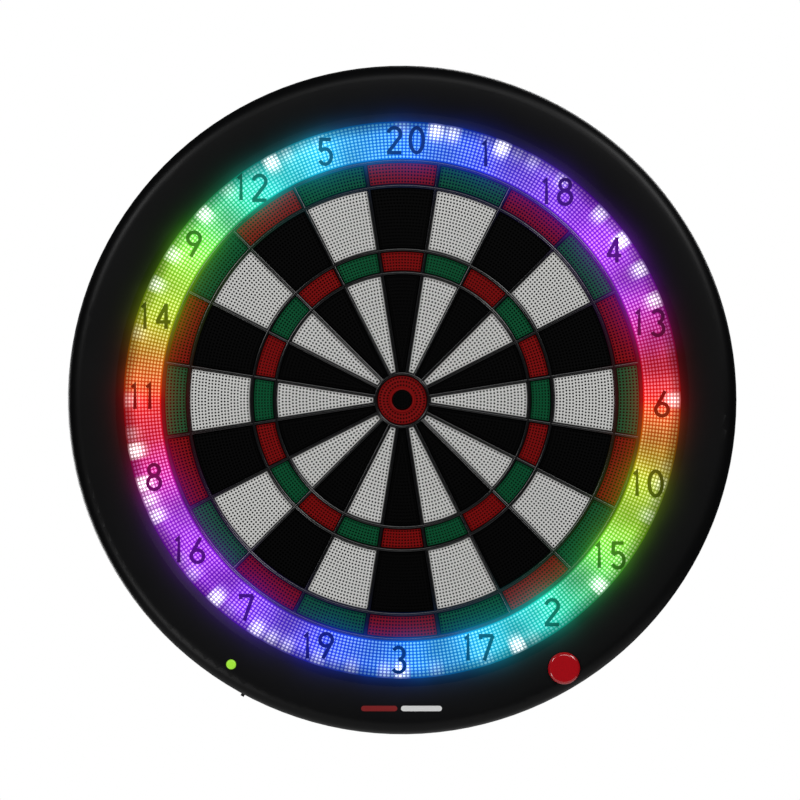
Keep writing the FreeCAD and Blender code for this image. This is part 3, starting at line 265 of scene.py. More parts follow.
def perforation_tree():
    """Geometry Nodes: rows of holed cells, bent to a ring or to a key between two sector lines."""
    name = "Perforated band"
    if name in bpy.data.node_groups:
        return bpy.data.node_groups[name]
    tree, given, result = node_group(name, "GeometryNodeTree", (
        ("Geometry", "NodeSocketGeometry"),
        ("Cell", "NodeSocketObject"),
        ("Rows", "NodeSocketInt", 6),
        ("Columns", "NodeSocketInt", 0),
        ("Pitch", "NodeSocketFloat", 0.00265),
        ("Inner radius", "NodeSocketFloat", 0.1),
        ("Outer radius", "NodeSocketFloat", 0.12),
        ("Half angle", "NodeSocketFloat", math.radians(SECTOR / 2)),
        ("Side", "NodeSocketFloat", 0.0),
        ("Face", "NodeSocketFloat", FACE),
        ("Depth", "NodeSocketFloat", 0.0026),
        ("Hole share", "NodeSocketFloat", 0.6),
        ("Material", "NodeSocketMaterial"),
    ), (("Geometry", "NodeSocketGeometry"),))
    value = given.outputs
    span = maths(tree, "SUBTRACT", value["Outer radius"], value["Inner radius"])

    def reach(radius):
        """Half the band's angle at a radius."""
        lean = maths(tree, "ARCSINE", maths(tree, "DIVIDE", value["Side"], radius))
        return maths(tree, "SUBTRACT", value["Half angle"], lean)

    points = add(tree, "GeometryNodePoints", {"Count": value["Rows"]})
    row = add(tree, "GeometryNodeInputIndex").outputs[0]
    row_share = maths(tree, "DIVIDE", maths(tree, "ADD", row, 0.5), value["Rows"])
    row_radius = maths(tree, "MULTIPLY_ADD", row_share, span, value["Inner radius"])
    width = product(tree, reach(row_radius), row_radius, 2.0)
    fitted = maths(tree, "MAXIMUM", maths(tree, "ROUND", maths(tree, "DIVIDE", width, value["Pitch"])), 1.0)
    follow = maths(tree, "LESS_THAN", value["Columns"], 0.5)
    count = maths(tree, "MULTIPLY_ADD", fitted, follow, value["Columns"])

    kept_row = add(tree, "GeometryNodeCaptureAttribute", domain="POINT")
    kept_row.capture_items.new("FLOAT", "Row")
    kept_row.capture_items.new("FLOAT", "Count")
    feed(tree, kept_row, {0: points.outputs[0], "Row": row, "Count": count})
    repeated = add(tree, "GeometryNodeDuplicateElements",
                   {"Geometry": kept_row.outputs[0], "Amount": kept_row.outputs["Count"]}, domain="POINT")
    kept_column = add(tree, "GeometryNodeCaptureAttribute", domain="POINT")
    kept_column.capture_items.new("FLOAT", "Column")
    feed(tree, kept_column, {0: repeated.outputs["Geometry"], "Column": repeated.outputs["Duplicate Index"]})
    cell = add(tree, "GeometryNodeObjectInfo", {"Object": value["Cell"]}, transform_space="ORIGINAL")
    placed = add(tree, "GeometryNodeInstanceOnPoints",
                 {"Points": kept_column.outputs[0], "Instance": cell.outputs["Geometry"]})
    real = add(tree, "GeometryNodeRealizeInstances", {"Geometry": placed.outputs[0]})

    place = add(tree, "ShaderNodeSeparateXYZ", {0: add(tree, "GeometryNodeInputPosition").outputs[0]})
    rim = add(tree, "GeometryNodeInputNamedAttribute", {"Name": "rim"}, data_type="FLOAT").outputs[0]
    shrink = product(tree, rim, maths(tree, "SUBTRACT", 1.0, value["Hole share"]))
    keep = maths(tree, "SUBTRACT", 1.0, shrink)
    across = product(tree, place.outputs[0], keep)
    along = product(tree, place.outputs[1], keep)
    u = total(tree, kept_column.outputs["Column"], across, 0.5)
    u = maths(tree, "DIVIDE", u, kept_row.outputs["Count"])
    v = total(tree, kept_row.outputs["Row"], along, 0.5)
    v = maths(tree, "DIVIDE", v, value["Rows"])
    radius = maths(tree, "MULTIPLY_ADD", v, span, value["Inner radius"])
    angle = product(tree, maths(tree, "MULTIPLY_ADD", u, 2.0, -1.0), reach(radius))
    x = product(tree, maths(tree, "SINE", angle), radius)
    z = product(tree, maths(tree, "COSINE", angle), radius)
    front = maths(tree, "MULTIPLY", value["Face"], -1.0)
    depth = maths(tree, "MULTIPLY_ADD", place.outputs[2], value["Depth"], front)
    bent = add(tree, "GeometryNodeSetPosition", {
        "Geometry": real.outputs[0],
        "Position": add(tree, "ShaderNodeCombineXYZ", {0: x, 1: depth, 2: z}).outputs[0]})
    coloured = add(tree, "GeometryNodeSetMaterial",
                   {"Geometry": bent.outputs[0], "Material": value["Material"]})
    tree.links.new(coloured.outputs[0], result.inputs[0])
    return tree


def repeat_tree():
    """Geometry Nodes: a piece drawn at the top of the board, repeated at even clock angles."""
    name = "Repeat round the board"
    if name in bpy.data.node_groups:
        return bpy.data.node_groups[name]
    tree, given, result = node_group(name, "GeometryNodeTree", (
        ("Geometry", "NodeSocketGeometry"),
        ("Piece", "NodeSocketObject"),
        ("Count", "NodeSocketInt", 20),
        ("First angle", "NodeSocketFloat", 0.0),
        ("Material", "NodeSocketMaterial"),
    ), (("Geometry", "NodeSocketGeometry"),))
    value = given.outputs
    points = add(tree, "GeometryNodePoints", {"Count": value["Count"]})
    step = maths(tree, "DIVIDE", math.tau, value["Count"])
    index = add(tree, "GeometryNodeInputIndex").outputs[0]
    angle = maths(tree, "MULTIPLY_ADD", index, step, value["First angle"])
    turn = add(tree, "ShaderNodeCombineXYZ", {1: angle})
    piece = add(tree, "GeometryNodeObjectInfo", {"Object": value["Piece"]}, transform_space="ORIGINAL")
    placed = add(tree, "GeometryNodeInstanceOnPoints", {
        "Points": points.outputs[0], "Instance": piece.outputs["Geometry"], "Rotation": turn.outputs[0]})
    real = add(tree, "GeometryNodeRealizeInstances", {"Geometry": placed.outputs[0]})
    coloured = add(tree, "GeometryNodeSetMaterial",
                   {"Geometry": real.outputs[0], "Material": value["Material"]})
    tree.links.new(coloured.outputs[0], result.inputs[0])
    return tree


# ---- Shader groups and materials ----

def plastic_grain():
    """Shader group: fine moulded texture, slow colour drift and uneven gloss."""
    name = "Moulded grain"
    if name in bpy.data.node_groups:
        return bpy.data.node_groups[name]
    tree, given, result = node_group(name, "ShaderNodeTree", (
        ("Vector", "NodeSocketVector"),
        ("Colour", "NodeSocketColor", (0.5, 0.5, 0.5, 1)),
        ("Scale", "NodeSocketFloat", 2500.0),
        ("Drift", "NodeSocketFloat", 0.08),
        ("Roughness", "NodeSocketFloat", 0.4),
        ("Unevenness", "NodeSocketFloat", 0.08),
    ), (("Colour", "NodeSocketColor"), ("Roughness", "NodeSocketFloat"), ("Height", "NodeSocketFloat")))
    value = given.outputs
    fine = add(tree, "ShaderNodeTexNoise",
               {"Vector": value["Vector"], "Scale": value["Scale"], "Detail": 2.0})
    slow = add(tree, "ShaderNodeTexNoise", {"Vector": value["Vector"], "Scale": 18.0, "Detail": 3.0})
    centred = maths(tree, "SUBTRACT", slow.outputs[0], 0.5)
    shade = maths(tree, "MULTIPLY_ADD", centred, product(tree, value["Drift"], 2.0), 1.0)
    tinted = combined(tree, "MULTIPLY", value["Colour"], shade)
    rough = maths(tree, "MULTIPLY_ADD", centred, value["Unevenness"], value["Roughness"])
    feed(tree, result, {"Colour": tinted, "Roughness": rough, "Height": fine.outputs[0]})
    return tree


def ring_light():
    """Shader group: the ring's light at a clock angle, its bright spots, and its painted spill past the ring,
    which is painted light on the pieces beside it.
    """
    name = "Rainbow light"
    if name in bpy.data.node_groups:
        return bpy.data.node_groups[name]
    tree, given, result = node_group(
        name, "ShaderNodeTree", (("Vector", "NodeSocketVector"), ("Spot size", "NodeSocketFloat", 0.006)),
        (("Colour", "NodeSocketColor"), ("Level", "NodeSocketFloat"), ("Spots", "NodeSocketFloat"),
         ("Spill", "NodeSocketFloat"), ("Radius", "NodeSocketFloat")))
    place = add(tree, "ShaderNodeSeparateXYZ", {0: given.outputs["Vector"]})
    x, z = place.outputs[0], place.outputs[2]
    angle = maths(tree, "ARCTAN2", x, z)
    radius = maths(tree, "SQRT", total(tree, product(tree, x, x), product(tree, z, z)))
    half_turns = maths(tree, "FRACT", total(tree, maths(tree, "DIVIDE", angle, math.pi), 2.0))
    ramp = add(tree, "ShaderNodeValToRGB", {0: half_turns})
    stops = (
        (0.0, (0.0014, 0.1, 0.62)), (0.1, (0.012, 0.03, 0.62)), (0.15, (0.06, 0.02, 0.62)),
        (0.25, (0.16, 0.006, 0.6)), (0.35, (0.27, 0.012, 0.6)), (0.4, (0.36, 0.004, 0.2)),
        (0.45, (0.5, 0.002, 0.02)), (0.5, (0.62, 0.006, 0.003)), (0.55, (0.45, 0.1, 0.003)),
        (0.6, (0.27, 0.33, 0.005)), (0.66, (0.2, 0.5, 0.01)), (0.72, (0.08, 0.52, 0.04)),
        (0.78, (0.012, 0.5, 0.24)), (0.85, (0.008, 0.5, 0.56)), (0.93, (0.006, 0.24, 0.65)),
        (1.0, (0.0014, 0.1, 0.62)),
    )
    ramp.color_ramp.elements[1].position = 1.0
    for element, (_, colour) in zip(ramp.color_ramp.elements, (stops[0], stops[-1])):
        element.color = (*colour, 1)
    for share, colour in stops[1:-1]:
        ramp.color_ramp.elements.new(share).color = (*colour, 1)

    # The lights stand evenly round the ring and shine unevenly: each has its own chance of a bright spot,
    # and the glow between them rises at the middle of each sector.
    lights = product(tree, maths(tree, "DIVIDE", angle, math.tau), float(LIGHTS))
    nearest = maths(tree, "ROUND", lights)
    off_along = product(tree, maths(tree, "SUBTRACT", lights, nearest), math.tau / LIGHTS, radius)
    off_out = maths(tree, "SUBTRACT", radius, LIGHT_RADIUS)
    squared = total(tree, product(tree, off_along, off_along), product(tree, off_out, off_out))
    size = product(tree, given.outputs["Spot size"], given.outputs["Spot size"])
    fall = maths(tree, "EXPONENT", product(tree, maths(tree, "DIVIDE", squared, size), -1.0))
    chance = add(tree, "ShaderNodeTexWhiteNoise", {"W": nearest}, noise_dimensions="1D")
    spots = product(tree, fall, maths(tree, "POWER", chance.outputs[0], 5.0))
    wave = maths(tree, "COSINE", product(tree, angle, float(len(NUMBERS))))
    patches = add(tree, "ShaderNodeTexNoise",
                  {"Vector": given.outputs["Vector"], "Scale": 26.0, "Detail": 1.5})
    level = maths(tree, "MULTIPLY_ADD", wave, 0.13, total(tree, patches.outputs[0], 0.3))

    # Past the ring's edges its painted spill falls off as painted light, outwards over the shell faster than
    # inwards over the keys.
    outside = maths(tree, "MAXIMUM", maths(tree, "SUBTRACT", radius, RING_OUT), 0.0)
    inside = maths(tree, "MAXIMUM", maths(tree, "SUBTRACT", RING_IN, radius), 0.0)
    away = total(tree, maths(tree, "DIVIDE", outside, PAINTED_SPILL_OUT), maths(tree, "DIVIDE", inside, PAINTED_SPILL_IN))
    spill = maths(tree, "EXPONENT", product(tree, away, -1.0))
    feed(tree, result, {"Colour": ramp.outputs[0], "Level": level, "Spots": spots,
                        "Spill": product(tree, spill, level), "Radius": radius})
    return tree


def hole_shade():
    """Shader group: painted shade, how much darker a surface is below the target's face, as the walls of the
    holes are.
    """
    name = "Hole shade"
    if name in bpy.data.node_groups:
        return bpy.data.node_groups[name]
    tree, given, result = node_group(
        name, "ShaderNodeTree", (("Vector", "NodeSocketVector"), ("Face", "NodeSocketFloat", FACE),
                                 ("Depth", "NodeSocketFloat", 0.0012), ("Darkest", "NodeSocketFloat", 0.1)),
        (("Shade", "NodeSocketFloat"),))
    value = given.outputs
    height = product(tree, add(tree, "ShaderNodeSeparateXYZ", {0: value["Vector"]}).outputs[1], -1.0)
    low = maths(tree, "SUBTRACT", maths(tree, "SUBTRACT", value["Face"], value["Depth"]), EDGE)
    high = maths(tree, "SUBTRACT", value["Face"], EDGE)
    shade = add(tree, "ShaderNodeMapRange", {
        "Value": height, "From Min": low, "From Max": high, "To Min": value["Darkest"], "To Max": 1.0})
    tree.links.new(shade.outputs[0], result.inputs[0])
    return tree


def new_material(name):
    """An empty material: its tree, its shader and the place on the piece that patterns read."""
    material = bpy.data.materials.new(name)
    material.use_nodes = True
    tree = material.node_tree
    return material, tree, tree.nodes["Principled BSDF"], add(tree, "ShaderNodeTexCoord").outputs["Object"]


def moulded(name, colour, roughness, scale=2500.0, bump=0.08, drift=0.08, unevenness=0.08, metallic=0.0,
            specular=0.5, coat=0.0, glow=0.0, spill=0.0, holes=False):
    """A moulded, painted or metal finish with its own grain. Its painted spill is painted light, a glow of
    the ring's light given as emission, and holes adds painted shade to what lies below the target's face."""
    if name in bpy.data.materials:
        return bpy.data.materials[name]
    material, tree, shader, place = new_material(name)
    grain = add(tree, "ShaderNodeGroup", node_tree=plastic_grain())
    feed(tree, grain, {"Vector": place, "Colour": (*colour, 1), "Scale": scale, "Drift": drift,
                       "Roughness": roughness, "Unevenness": unevenness})
    tinted = grain.outputs["Colour"]
    # Painted shade: what lies below the target's face is darkened.
    if holes:
        shade = add(tree, "ShaderNodeGroup", node_tree=hole_shade())
        feed(tree, shade, {"Vector": place})
        tinted = combined(tree, "MULTIPLY", tinted, shade.outputs[0])
    bumped = add(tree, "ShaderNodeBump",
                 {"Height": grain.outputs["Height"], "Strength": bump, "Distance": 0.0002})
    feed(tree, shader, {
        "Base Color": tinted, "Roughness": grain.outputs["Roughness"], "Normal": bumped.outputs[0],
        "Metallic": metallic, "Specular IOR Level": specular, "Coat Weight": coat})
    if glow:
        feed(tree, shader, {"Emission Color": grain.outputs["Colour"], "Emission Strength": glow})
    # Painted light: a glow of the ring's light, given as emission on this finish.
    if spill:
        light = add(tree, "ShaderNodeGroup", node_tree=ring_light())
        feed(tree, light, {"Vector": place})
        lit = combined(tree, "MULTIPLY", light.outputs["Colour"], light.outputs["Spill"])
        feed(tree, shader, {"Emission Color": lit, "Emission Strength": spill})
    return material


def lit_plastic(name, strength, paleness, spot_share):
    """The number ring's plastic, lit from behind. paleness is 0 for the pure colour and 1 for nearly white,
    and spot_share is how strongly the lights' bright spots show."""
    if name in bpy.data.materials:
        return bpy.data.materials[name]
    material, tree, shader, place = new_material(name)
    light = add(tree, "ShaderNodeGroup", node_tree=ring_light())
    feed(tree, light, {"Vector": place})
    edge = add(tree, "ShaderNodeMapRange", {
        "Value": light.outputs["Radius"], "From Min": FADE_FROM, "From Max": FADE_TO,
        "To Min": 1.0, "To Max": 0.4})
    level = product(tree, edge.outputs[0], light.outputs["Level"])
    pale = add(tree, "ShaderNodeGamma", {"Color": light.outputs["Colour"], "Gamma": 1.0 - 0.7 * paleness})
    white = product(tree, level, level, 0.1 * paleness)
    white = maths(tree, "MULTIPLY_ADD", light.outputs["Spots"], spot_share, white)
    mixed = combined(tree, "ADD", combined(tree, "MULTIPLY", pale.outputs[0], level), white)
    grain = add(tree, "ShaderNodeGroup", node_tree=plastic_grain())
    feed(tree, grain, {"Vector": place, "Colour": light.outputs["Colour"], "Scale": 1800.0,
                       "Roughness": 0.35})
    dim = combined(tree, "MULTIPLY", grain.outputs["Colour"], (0.04, 0.04, 0.04))
    feed(tree, shader, {
        "Base Color": dim, "Roughness": grain.outputs["Roughness"], "Specular IOR Level": 0.15,
        "Emission Color": mixed, "Emission Strength": strength})
    return material


# ---- Mesh helpers ----

def new_piece(name, mesh, body, stands_for=(), smooth=False):
    """Puts a finished mesh in the scene, on the CAD body that carries it."""
    piece = bpy.data.objects.new(name, mesh)
    bpy.context.scene.collection.objects.link(piece)
    mesh.polygons.foreach_set("use_smooth", [smooth] * len(mesh.polygons))
    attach(piece, body)
    if stands_for:
        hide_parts(*stands_for)
    return piece


def baked(tree, inputs, name):
    """The mesh that a Geometry Nodes tree makes with these named inputs."""
    carrier = bpy.data.objects.new(name, bpy.data.meshes.new(name))
    bpy.context.scene.collection.objects.link(carrier)
    modifier = carrier.modifiers.new(name, "NODES")
    modifier.node_group = tree
    sockets = {item.name: item.identifier for item in tree.interface.items_tree
               if item.item_type == "SOCKET" and item.in_out == "INPUT"}
    for key, value in inputs.items():
        modifier[sockets[key]] = value
    carrier.update_tag()
    evaluated = carrier.evaluated_get(bpy.context.evaluated_depsgraph_get())
    mesh = bpy.data.meshes.new_from_object(evaluated)
    bpy.data.objects.remove(carrier)
    mesh.name = name
    return mesh


def to_mesh(shape, name):
    """A new mesh from a bmesh, which is then let go."""
    mesh = bpy.data.meshes.new(name)
    shape.to_mesh(mesh)
    shape.free()
    return mesh


def merged(parts, name, materials):
    """One mesh from several, each with the number of its material."""
    joined = bmesh.new()
    for mesh, slot in parts:
        before = len(joined.faces)
        joined.from_mesh(mesh)
        joined.faces.ensure_lookup_table()
        for face in joined.faces[before:]:
            face.material_index = slot
    bmesh.ops.remove_doubles(joined, verts=joined.verts, dist=2e-6)
    result = to_mesh(joined, name)
    for material in materials:
        result.materials.append(material)
    return result


def hole_cell():
    """A one by one cell with an eight-sided hole, in an object that only the trees read."""
    name = "hole_cell"
    if name in bpy.data.objects:
        return bpy.data.objects[name]
    outer, inner, deep = [], [], []
    for i in range(8):
        angle = math.tau * i / 8
        c, s = math.cos(angle), math.sin(angle)
        reach = 0.5 / max(abs(c), abs(s))
        outer.append((c * reach, s * reach, 0))
        inner.append((c * 0.5, s * 0.5, 0))
        deep.append((c * 0.5, s * 0.5, 1))
    faces = []
    for i in range(8):
        j = (i + 1) % 8
        faces.append((i, j, 8 + j, 8 + i))
        faces.append((8 + i, 8 + j, 16 + j, 16 + i))
    mesh = bpy.data.meshes.new(name)
    mesh.from_pydata(outer + inner + deep, [], faces)
    rim = mesh.attributes.new("rim", "FLOAT", "POINT")
    rim.data.foreach_set("value", [0.0] * 8 + [1.0] * 16)
    return bpy.data.objects.new(name, mesh)


def turned_copy(mesh, clock, name):
    """A copy of a mesh drawn at the top of the board, turned to a clock angle."""
    copy = mesh.copy()
    copy.name = name
    copy.transform(Matrix.Rotation(math.radians(clock), 4, "Y"))
    return copy


def lathe(name, outline, steps=360, closed=True):
    """A ring turned about the board's axis from (radius, height) points."""
    turned = bmesh.new()
    loops = []
    for i in range(steps):
        angle = math.tau * i / steps
        loops.append([turned.verts.new((r * math.sin(angle), -h, r * math.cos(angle))) for r, h in outline])
    last = len(outline) if closed else len(outline) - 1
    for here, there in zip(loops, loops[1:] + loops[:1]):
        for k in range(last):
            m = (k + 1) % len(outline)
            turned.faces.new((here[k], here[m], there[m], there[k]))
    bmesh.ops.remove_doubles(turned, verts=turned.verts, dist=1e-7)
    bmesh.ops.recalc_face_normals(turned, faces=turned.faces)
    return to_mesh(turned, name)


# ---- Keys ----

def key_shells():
    """The keys of the top sector without their faces: bevelled edges, sides and the floor under the holes."""
    depth = bpy.context.scene.dartboard_target.hole_depth
    shell = bmesh.new()
    shell.from_mesh(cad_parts["sector_20"].data)
    bmesh.ops.remove_doubles(shell, verts=shell.verts, dist=1e-6)
    faces = [f for f in shell.faces if all(abs(v.co.y + FACE) < LEVEL for v in f.verts)]
    for item in bmesh.ops.duplicate(shell, geom=faces)["geom"]:
        if isinstance(item, bmesh.types.BMVert):
            item.co.y += depth
    bmesh.ops.delete(shell, geom=faces, context="FACES_ONLY")
    rims = [e for e in shell.edges if e.is_boundary and all(abs(v.co.y + FACE) < LEVEL for v in e.verts)]
    made = bmesh.ops.extrude_edge_only(shell, edges=rims)["geom"]
    for vert in {v for e in rims for v in e.verts}:
        vert.co.y += EDGE
    for vert in (v for v in made if isinstance(v, bmesh.types.BMVert)):
        radius = math.hypot(vert.co.x, vert.co.z)
        ring = next(r for r in KEY_RINGS if r[1] - RIM_MARGIN < radius < r[2] + RIM_MARGIN)
        moved = min(max(radius, ring[1] + EDGE), ring[2] - EDGE)
        limit = math.radians(SECTOR / 2) - math.asin((KEY_SIDE + EDGE) / moved)
        angle = min(max(math.atan2(vert.co.x, vert.co.z), -limit), limit)
        vert.co = (moved * math.sin(angle), -FACE, moved * math.cos(angle))
    return shell


def sector_meshes(settings):
    """The top sector's single keys and its double and triple keys, as two meshes."""
    shell = key_shells()
    bands = {}
    for name, r_in, r_out, rows, columns in KEY_RINGS:
        bands[name] = baked(perforation_tree(), {
            "Cell": hole_cell(), "Rows": rows, "Columns": columns, "Pitch": settings.hole_pitch,
            "Inner radius": r_in + EDGE, "Outer radius": r_out - EDGE, "Side": KEY_SIDE + EDGE,
            "Depth": settings.hole_depth, "Hole share": settings.hole_share}, name)
    found = {}
    for kind, names in (("single", ("outer_single", "inner_single")), ("scoring", ("double", "triple"))):
        half = shell.copy()
        limits = [(r[1] - KEY_MARGIN, r[2] + KEY_MARGIN) for r in KEY_RINGS if r[0] in names]
        away = [v for v in half.verts
                if not any(least < math.hypot(v.co.x, v.co.z) < most for least, most in limits)]
        bmesh.ops.delete(half, geom=away, context="VERTS")
        found[kind] = merged([(to_mesh(half, kind), 0)] + [(bands[name], 0) for name in names], kind, [])
    shell.free()
    return found["single"], found["scoring"]


class DARTBOARD_OT_keys(bpy.types.Operator):
    """Make the perforated keys of the twenty sectors"""
    bl_idname = "dartboard.keys"
    bl_label = "Keys"

    def execute(self, context):
        settings = context.scene.dartboard_target
        # The red and green keys get a painted spill of the ring's light.
        spill = context.scene.dartboard_ring.spill * KEY_PAINTED_SPILL
        # With holes, each key finish has painted shade below the keys' face.
        finishes = {
            "black": moulded("black key plastic", settings.black, 0.5, drift=0.15, specular=0.06, holes=True),
            "white": moulded("white key plastic", settings.white, 0.5, bump=0.05, drift=0.05, specular=0.3,
                             holes=True),
        }
        for name in ("red", "green"):
            finishes[name] = moulded(name + " key plastic", getattr(settings, name), 0.5, drift=0.12,
                                     specular=0.12, spill=spill, holes=True)
        singles, scoring = sector_meshes(settings)
        for place, number in enumerate(NUMBERS):
            node = f"sector_{number:02d}"
            dark = place % 2 == 0
            for mesh, kind, colour in ((singles, "singles", "black" if dark else "white"),
                                       (scoring, "scoring_keys", "red" if dark else "green")):
                made = turned_copy(mesh, SECTOR * place, f"{node}_{kind}")
                made.materials.append(finishes[colour])
                new_piece(f"{node}_{kind}", made, node, (node,))
        return {"FINISHED"}


class DARTBOARD_OT_bulls(bpy.types.Operator):
    """Make the outer and inner bull"""
    bl_idname = "dartboard.bulls"
    bl_label = "Bulls"

    def execute(self, context):
        settings = context.scene.dartboard_target
        # With holes, both bull finishes have painted shade below their face.
        red = moulded("outer bull plastic", settings.red, 0.45, drift=0.1, specular=0.15, holes=True)
        black = moulded("inner bull plastic", settings.black, 0.5, drift=0.15, specular=0.06, holes=True)
        depth = settings.hole_depth
        for body, slot, finish in (("outer_bull", "key_red", red), ("inner_bull", "key_black", black)):
            name = body + "_key"
            r_in, r_out = BULL_BANDS[body]
            holes = baked(perforation_tree(), {
                "Cell": hole_cell(), "Rows": BULL_ROWS, "Columns": 0,
                "Pitch": settings.hole_pitch * BULL_PITCH, "Inner radius": r_in, "Outer radius": r_out,
                "Half angle": math.pi, "Depth": depth, "Hole share": settings.hole_share}, name)
            parts = [(holes, 0)]
            if body == "outer_bull":
                floor_in = r_in
                outline = [(r_out, FACE), (OUTER_BULL_R, FACE - EDGE), (OUTER_BULL_R, BULL_LOW),
                           (OUTER_BULL_FOOT, BULL_LOW), (OUTER_BULL_BORE, BULL_LOW),
                           (OUTER_BULL_BORE, FACE + LIP_FOOT), (LIP_IN, FACE + LIP_RISE),
                           (LIP_OUT, FACE + LIP_RISE), (r_in, FACE)]
            else:
                floor_in = INNER_BULL_MIDDLE
                outline = [(r_out, FACE), (INNER_BULL_R, FACE - EDGE), (INNER_BULL_R, BULL_LOW),
                           (floor_in, BULL_LOW)]
            floor = [(floor_in, FACE - depth), (r_out, FACE - depth)]
            parts.append((lathe(name + "_sides", outline, 96, closed=False), 0))
            parts.append((lathe(name + "_floor", floor, 96, closed=False), 0))
            if body == "inner_bull":
                parts.append((lathe(name + "_middle", [(0.0, FACE), (r_in, FACE)], 24, closed=False), 0))
            new_piece(name, merged(parts, name, [finish]), body, (body,))
        return {"FINISHED"}


def spider_finish():
    """The spider's glossier plastic, which stands close to the ring and gets a strong painted spill of its
    light.
    """
    return moulded("spider black plastic", (0.004, 0.004, 0.0044), 0.2, bump=0.05,
                   spill=bpy.context.scene.dartboard_ring.spill * SPIDER_PAINTED_SPILL)


class DARTBOARD_OT_spider(bpy.types.Operator):
    """Round the crowns of the spider's ribs"""
    bl_idname = "dartboard.spider"
    bl_label = "Spider"

    def execute(self, context):
        rise = context.scene.dartboard_target.crown
        finish = spider_finish()
        rings = []
        for i, radius in enumerate(RIBS):
            outline = [(radius + ROUND_HALF * math.cos(math.radians(a)),
                        CROWN_FOOT + rise * math.sin(math.radians(a))) for a in range(0, 181, 20)]
            rings.append(lathe(f"rib_{i}", outline))
        bar = bmesh.new()
        section = [(RADIAL_HALF * math.cos(math.radians(a)),
                    CROWN_FOOT + (rise - RADIAL_DROP) * math.sin(math.radians(a))) for a in range(0, 181, 30)]
        loops = [[bar.verts.new((x, -h, r)) for x, h in section] for r in (RADIAL_START, RIBS[-1])]
        for k in range(len(section)):
            m = (k + 1) % len(section)
            bar.faces.new((loops[0][k], loops[0][m], loops[1][m], loops[1][k]))
        for loop in loops:
            bar.faces.new(loop)
        bmesh.ops.rotate(bar, verts=bar.verts, cent=(0, 0, 0),
                         matrix=Matrix.Rotation(math.radians(SECTOR / 2), 3, "Y"))
        bmesh.ops.recalc_face_normals(bar, faces=bar.faces)
        rib = bpy.data.objects.new("radial_rib", to_mesh(bar, "radial_rib"))
        radials = baked(repeat_tree(), {"Piece": rib, "Count": len(NUMBERS), "First angle": 0.0},
                        "radial_ribs")
        bpy.data.objects.remove(rib)
        parts = [(ring, 0) for ring in rings] + [(radials, 0)]
        crowns = new_piece("spider_crowns", merged(parts, "spider_crowns", [finish]), "board",
                           smooth=True)
        split = crowns.modifiers.new("edges", "EDGE_SPLIT")
        split.split_angle = math.radians(50)
        return {"FINISHED"}


# ---- Number ring ----

class DARTBOARD_OT_number_ring(bpy.types.Operator):
    """Make the perforated number ring and the lit diffuser behind it"""
    bl_idname = "dartboard.number_ring"
    bl_label = "Number ring"

    def execute(self, context):
        settings = context.scene.dartboard_ring
        web = lit_plastic("number ring web", settings.web_light, paleness=0.0, spot_share=0.6)
        shine = lit_plastic("number ring light", settings.hole_light, paleness=0.78, spot_share=2.4)
        holes = baked(perforation_tree(), {
            "Cell": hole_cell(), "Rows": settings.rows, "Columns": settings.columns,
            "Inner radius": RING_IN + EDGE, "Outer radius": RING_OUT - EDGE, "Half angle": math.pi,
            "Depth": RING_DEPTH, "Hole share": settings.hole_share}, "number_ring_holes")
        rim = lathe("number_ring_rim", [
            (RING_IN + EDGE, FACE), (RING_IN, FACE - EDGE), (RING_IN, RING_BACK), (FLANGE_R, RING_BACK),
            (FLANGE_R, FLANGE_TOP), (RING_OUT, FLANGE_TOP), (RING_OUT, FACE - EDGE), (RING_OUT - EDGE, FACE)],
            closed=False)
        floor = lathe("number_ring_floor", [(RING_IN, FACE - RING_DEPTH), (RING_OUT, FACE - RING_DEPTH)],
                      closed=False)
        ring = merged([(holes, 0), (rim, 0), (floor, 1)], "number_ring_lens", [web, shine])
        new_piece("number_ring_lens", ring, "board", ("number_ring",))
        return {"FINISHED"}


def arc(x, z, rx, rz, start, end, steps=14):
    """Points on an oval, in degrees anticlockwise from the right."""
    return [(x + rx * math.cos(math.radians(start + (end - start) * i / steps)),
             z + rz * math.sin(math.radians(start + (end - start) * i / steps))) for i in range(steps + 1)]


# Each digit's strokes, along their middles, in a box that is one high: its points, and whether they close up.
SIX = ((arc(0, -0.25, 0.25, 0.25, 0, 345, 23), True), ([(-0.2, -0.11), (0.13, 0.5)], False))
DIGITS = {
    "0": ((arc(0, 0, 0.26, 0.5, 0, 345, 23), True),),
    "1": (([(-0.12, 0.36), (0, 0.5), (0, -0.5)], False),),
    "2": ((arc(0, 0.25, 0.25, 0.25, 170, -35) + [(-0.26, -0.5)], False),
          ([(-0.3, -0.5), (0.28, -0.5)], False)),
    "3": ((arc(-0.01, 0.26, 0.22, 0.24, 150, -90), False), (arc(-0.01, -0.24, 0.25, 0.26, 90, -150), False)),
    "4": (([(0.28, -0.22), (-0.3, -0.22)], False), ([(-0.26, -0.22), (0.1, 0.47)], False),
          ([(0.1, 0.52), (0.1, -0.5)], False)),
    "5": (([(0.23, 0.5), (-0.17, 0.5), (-0.2, 0.04)], False), (arc(0, -0.19, 0.25, 0.31, 140, -150), False)),
    "6": SIX,
    "7": (([(-0.24, 0.36), (-0.24, 0.5), (0.26, 0.5)], False), ([(0.25, 0.5), (-0.1, -0.5)], False)),
    "8": ((arc(0, 0.28, 0.21, 0.22, 0, 345, 23), True), (arc(0, -0.23, 0.26, 0.27, 0, 345, 23), True)),
    "9": tuple(([(-x, -z) for x, z in points], closed) for points, closed in SIX),
}
# The widths that a one and the other digits take up, the numerals' radius, how far they stand over the ring's
# face and are sunk in it, how much higher each stroke is than the last, and the sharpest mitre's share.
NARROW, WIDE = 0.6, 0.9
NUMERAL_RADIUS = 0.2155
NUMERAL_RISE, NUMERAL_SUNK, STROKE_STEP = 0.0003, 0.0004, 0.00006
MITRE_LEAST = 0.6


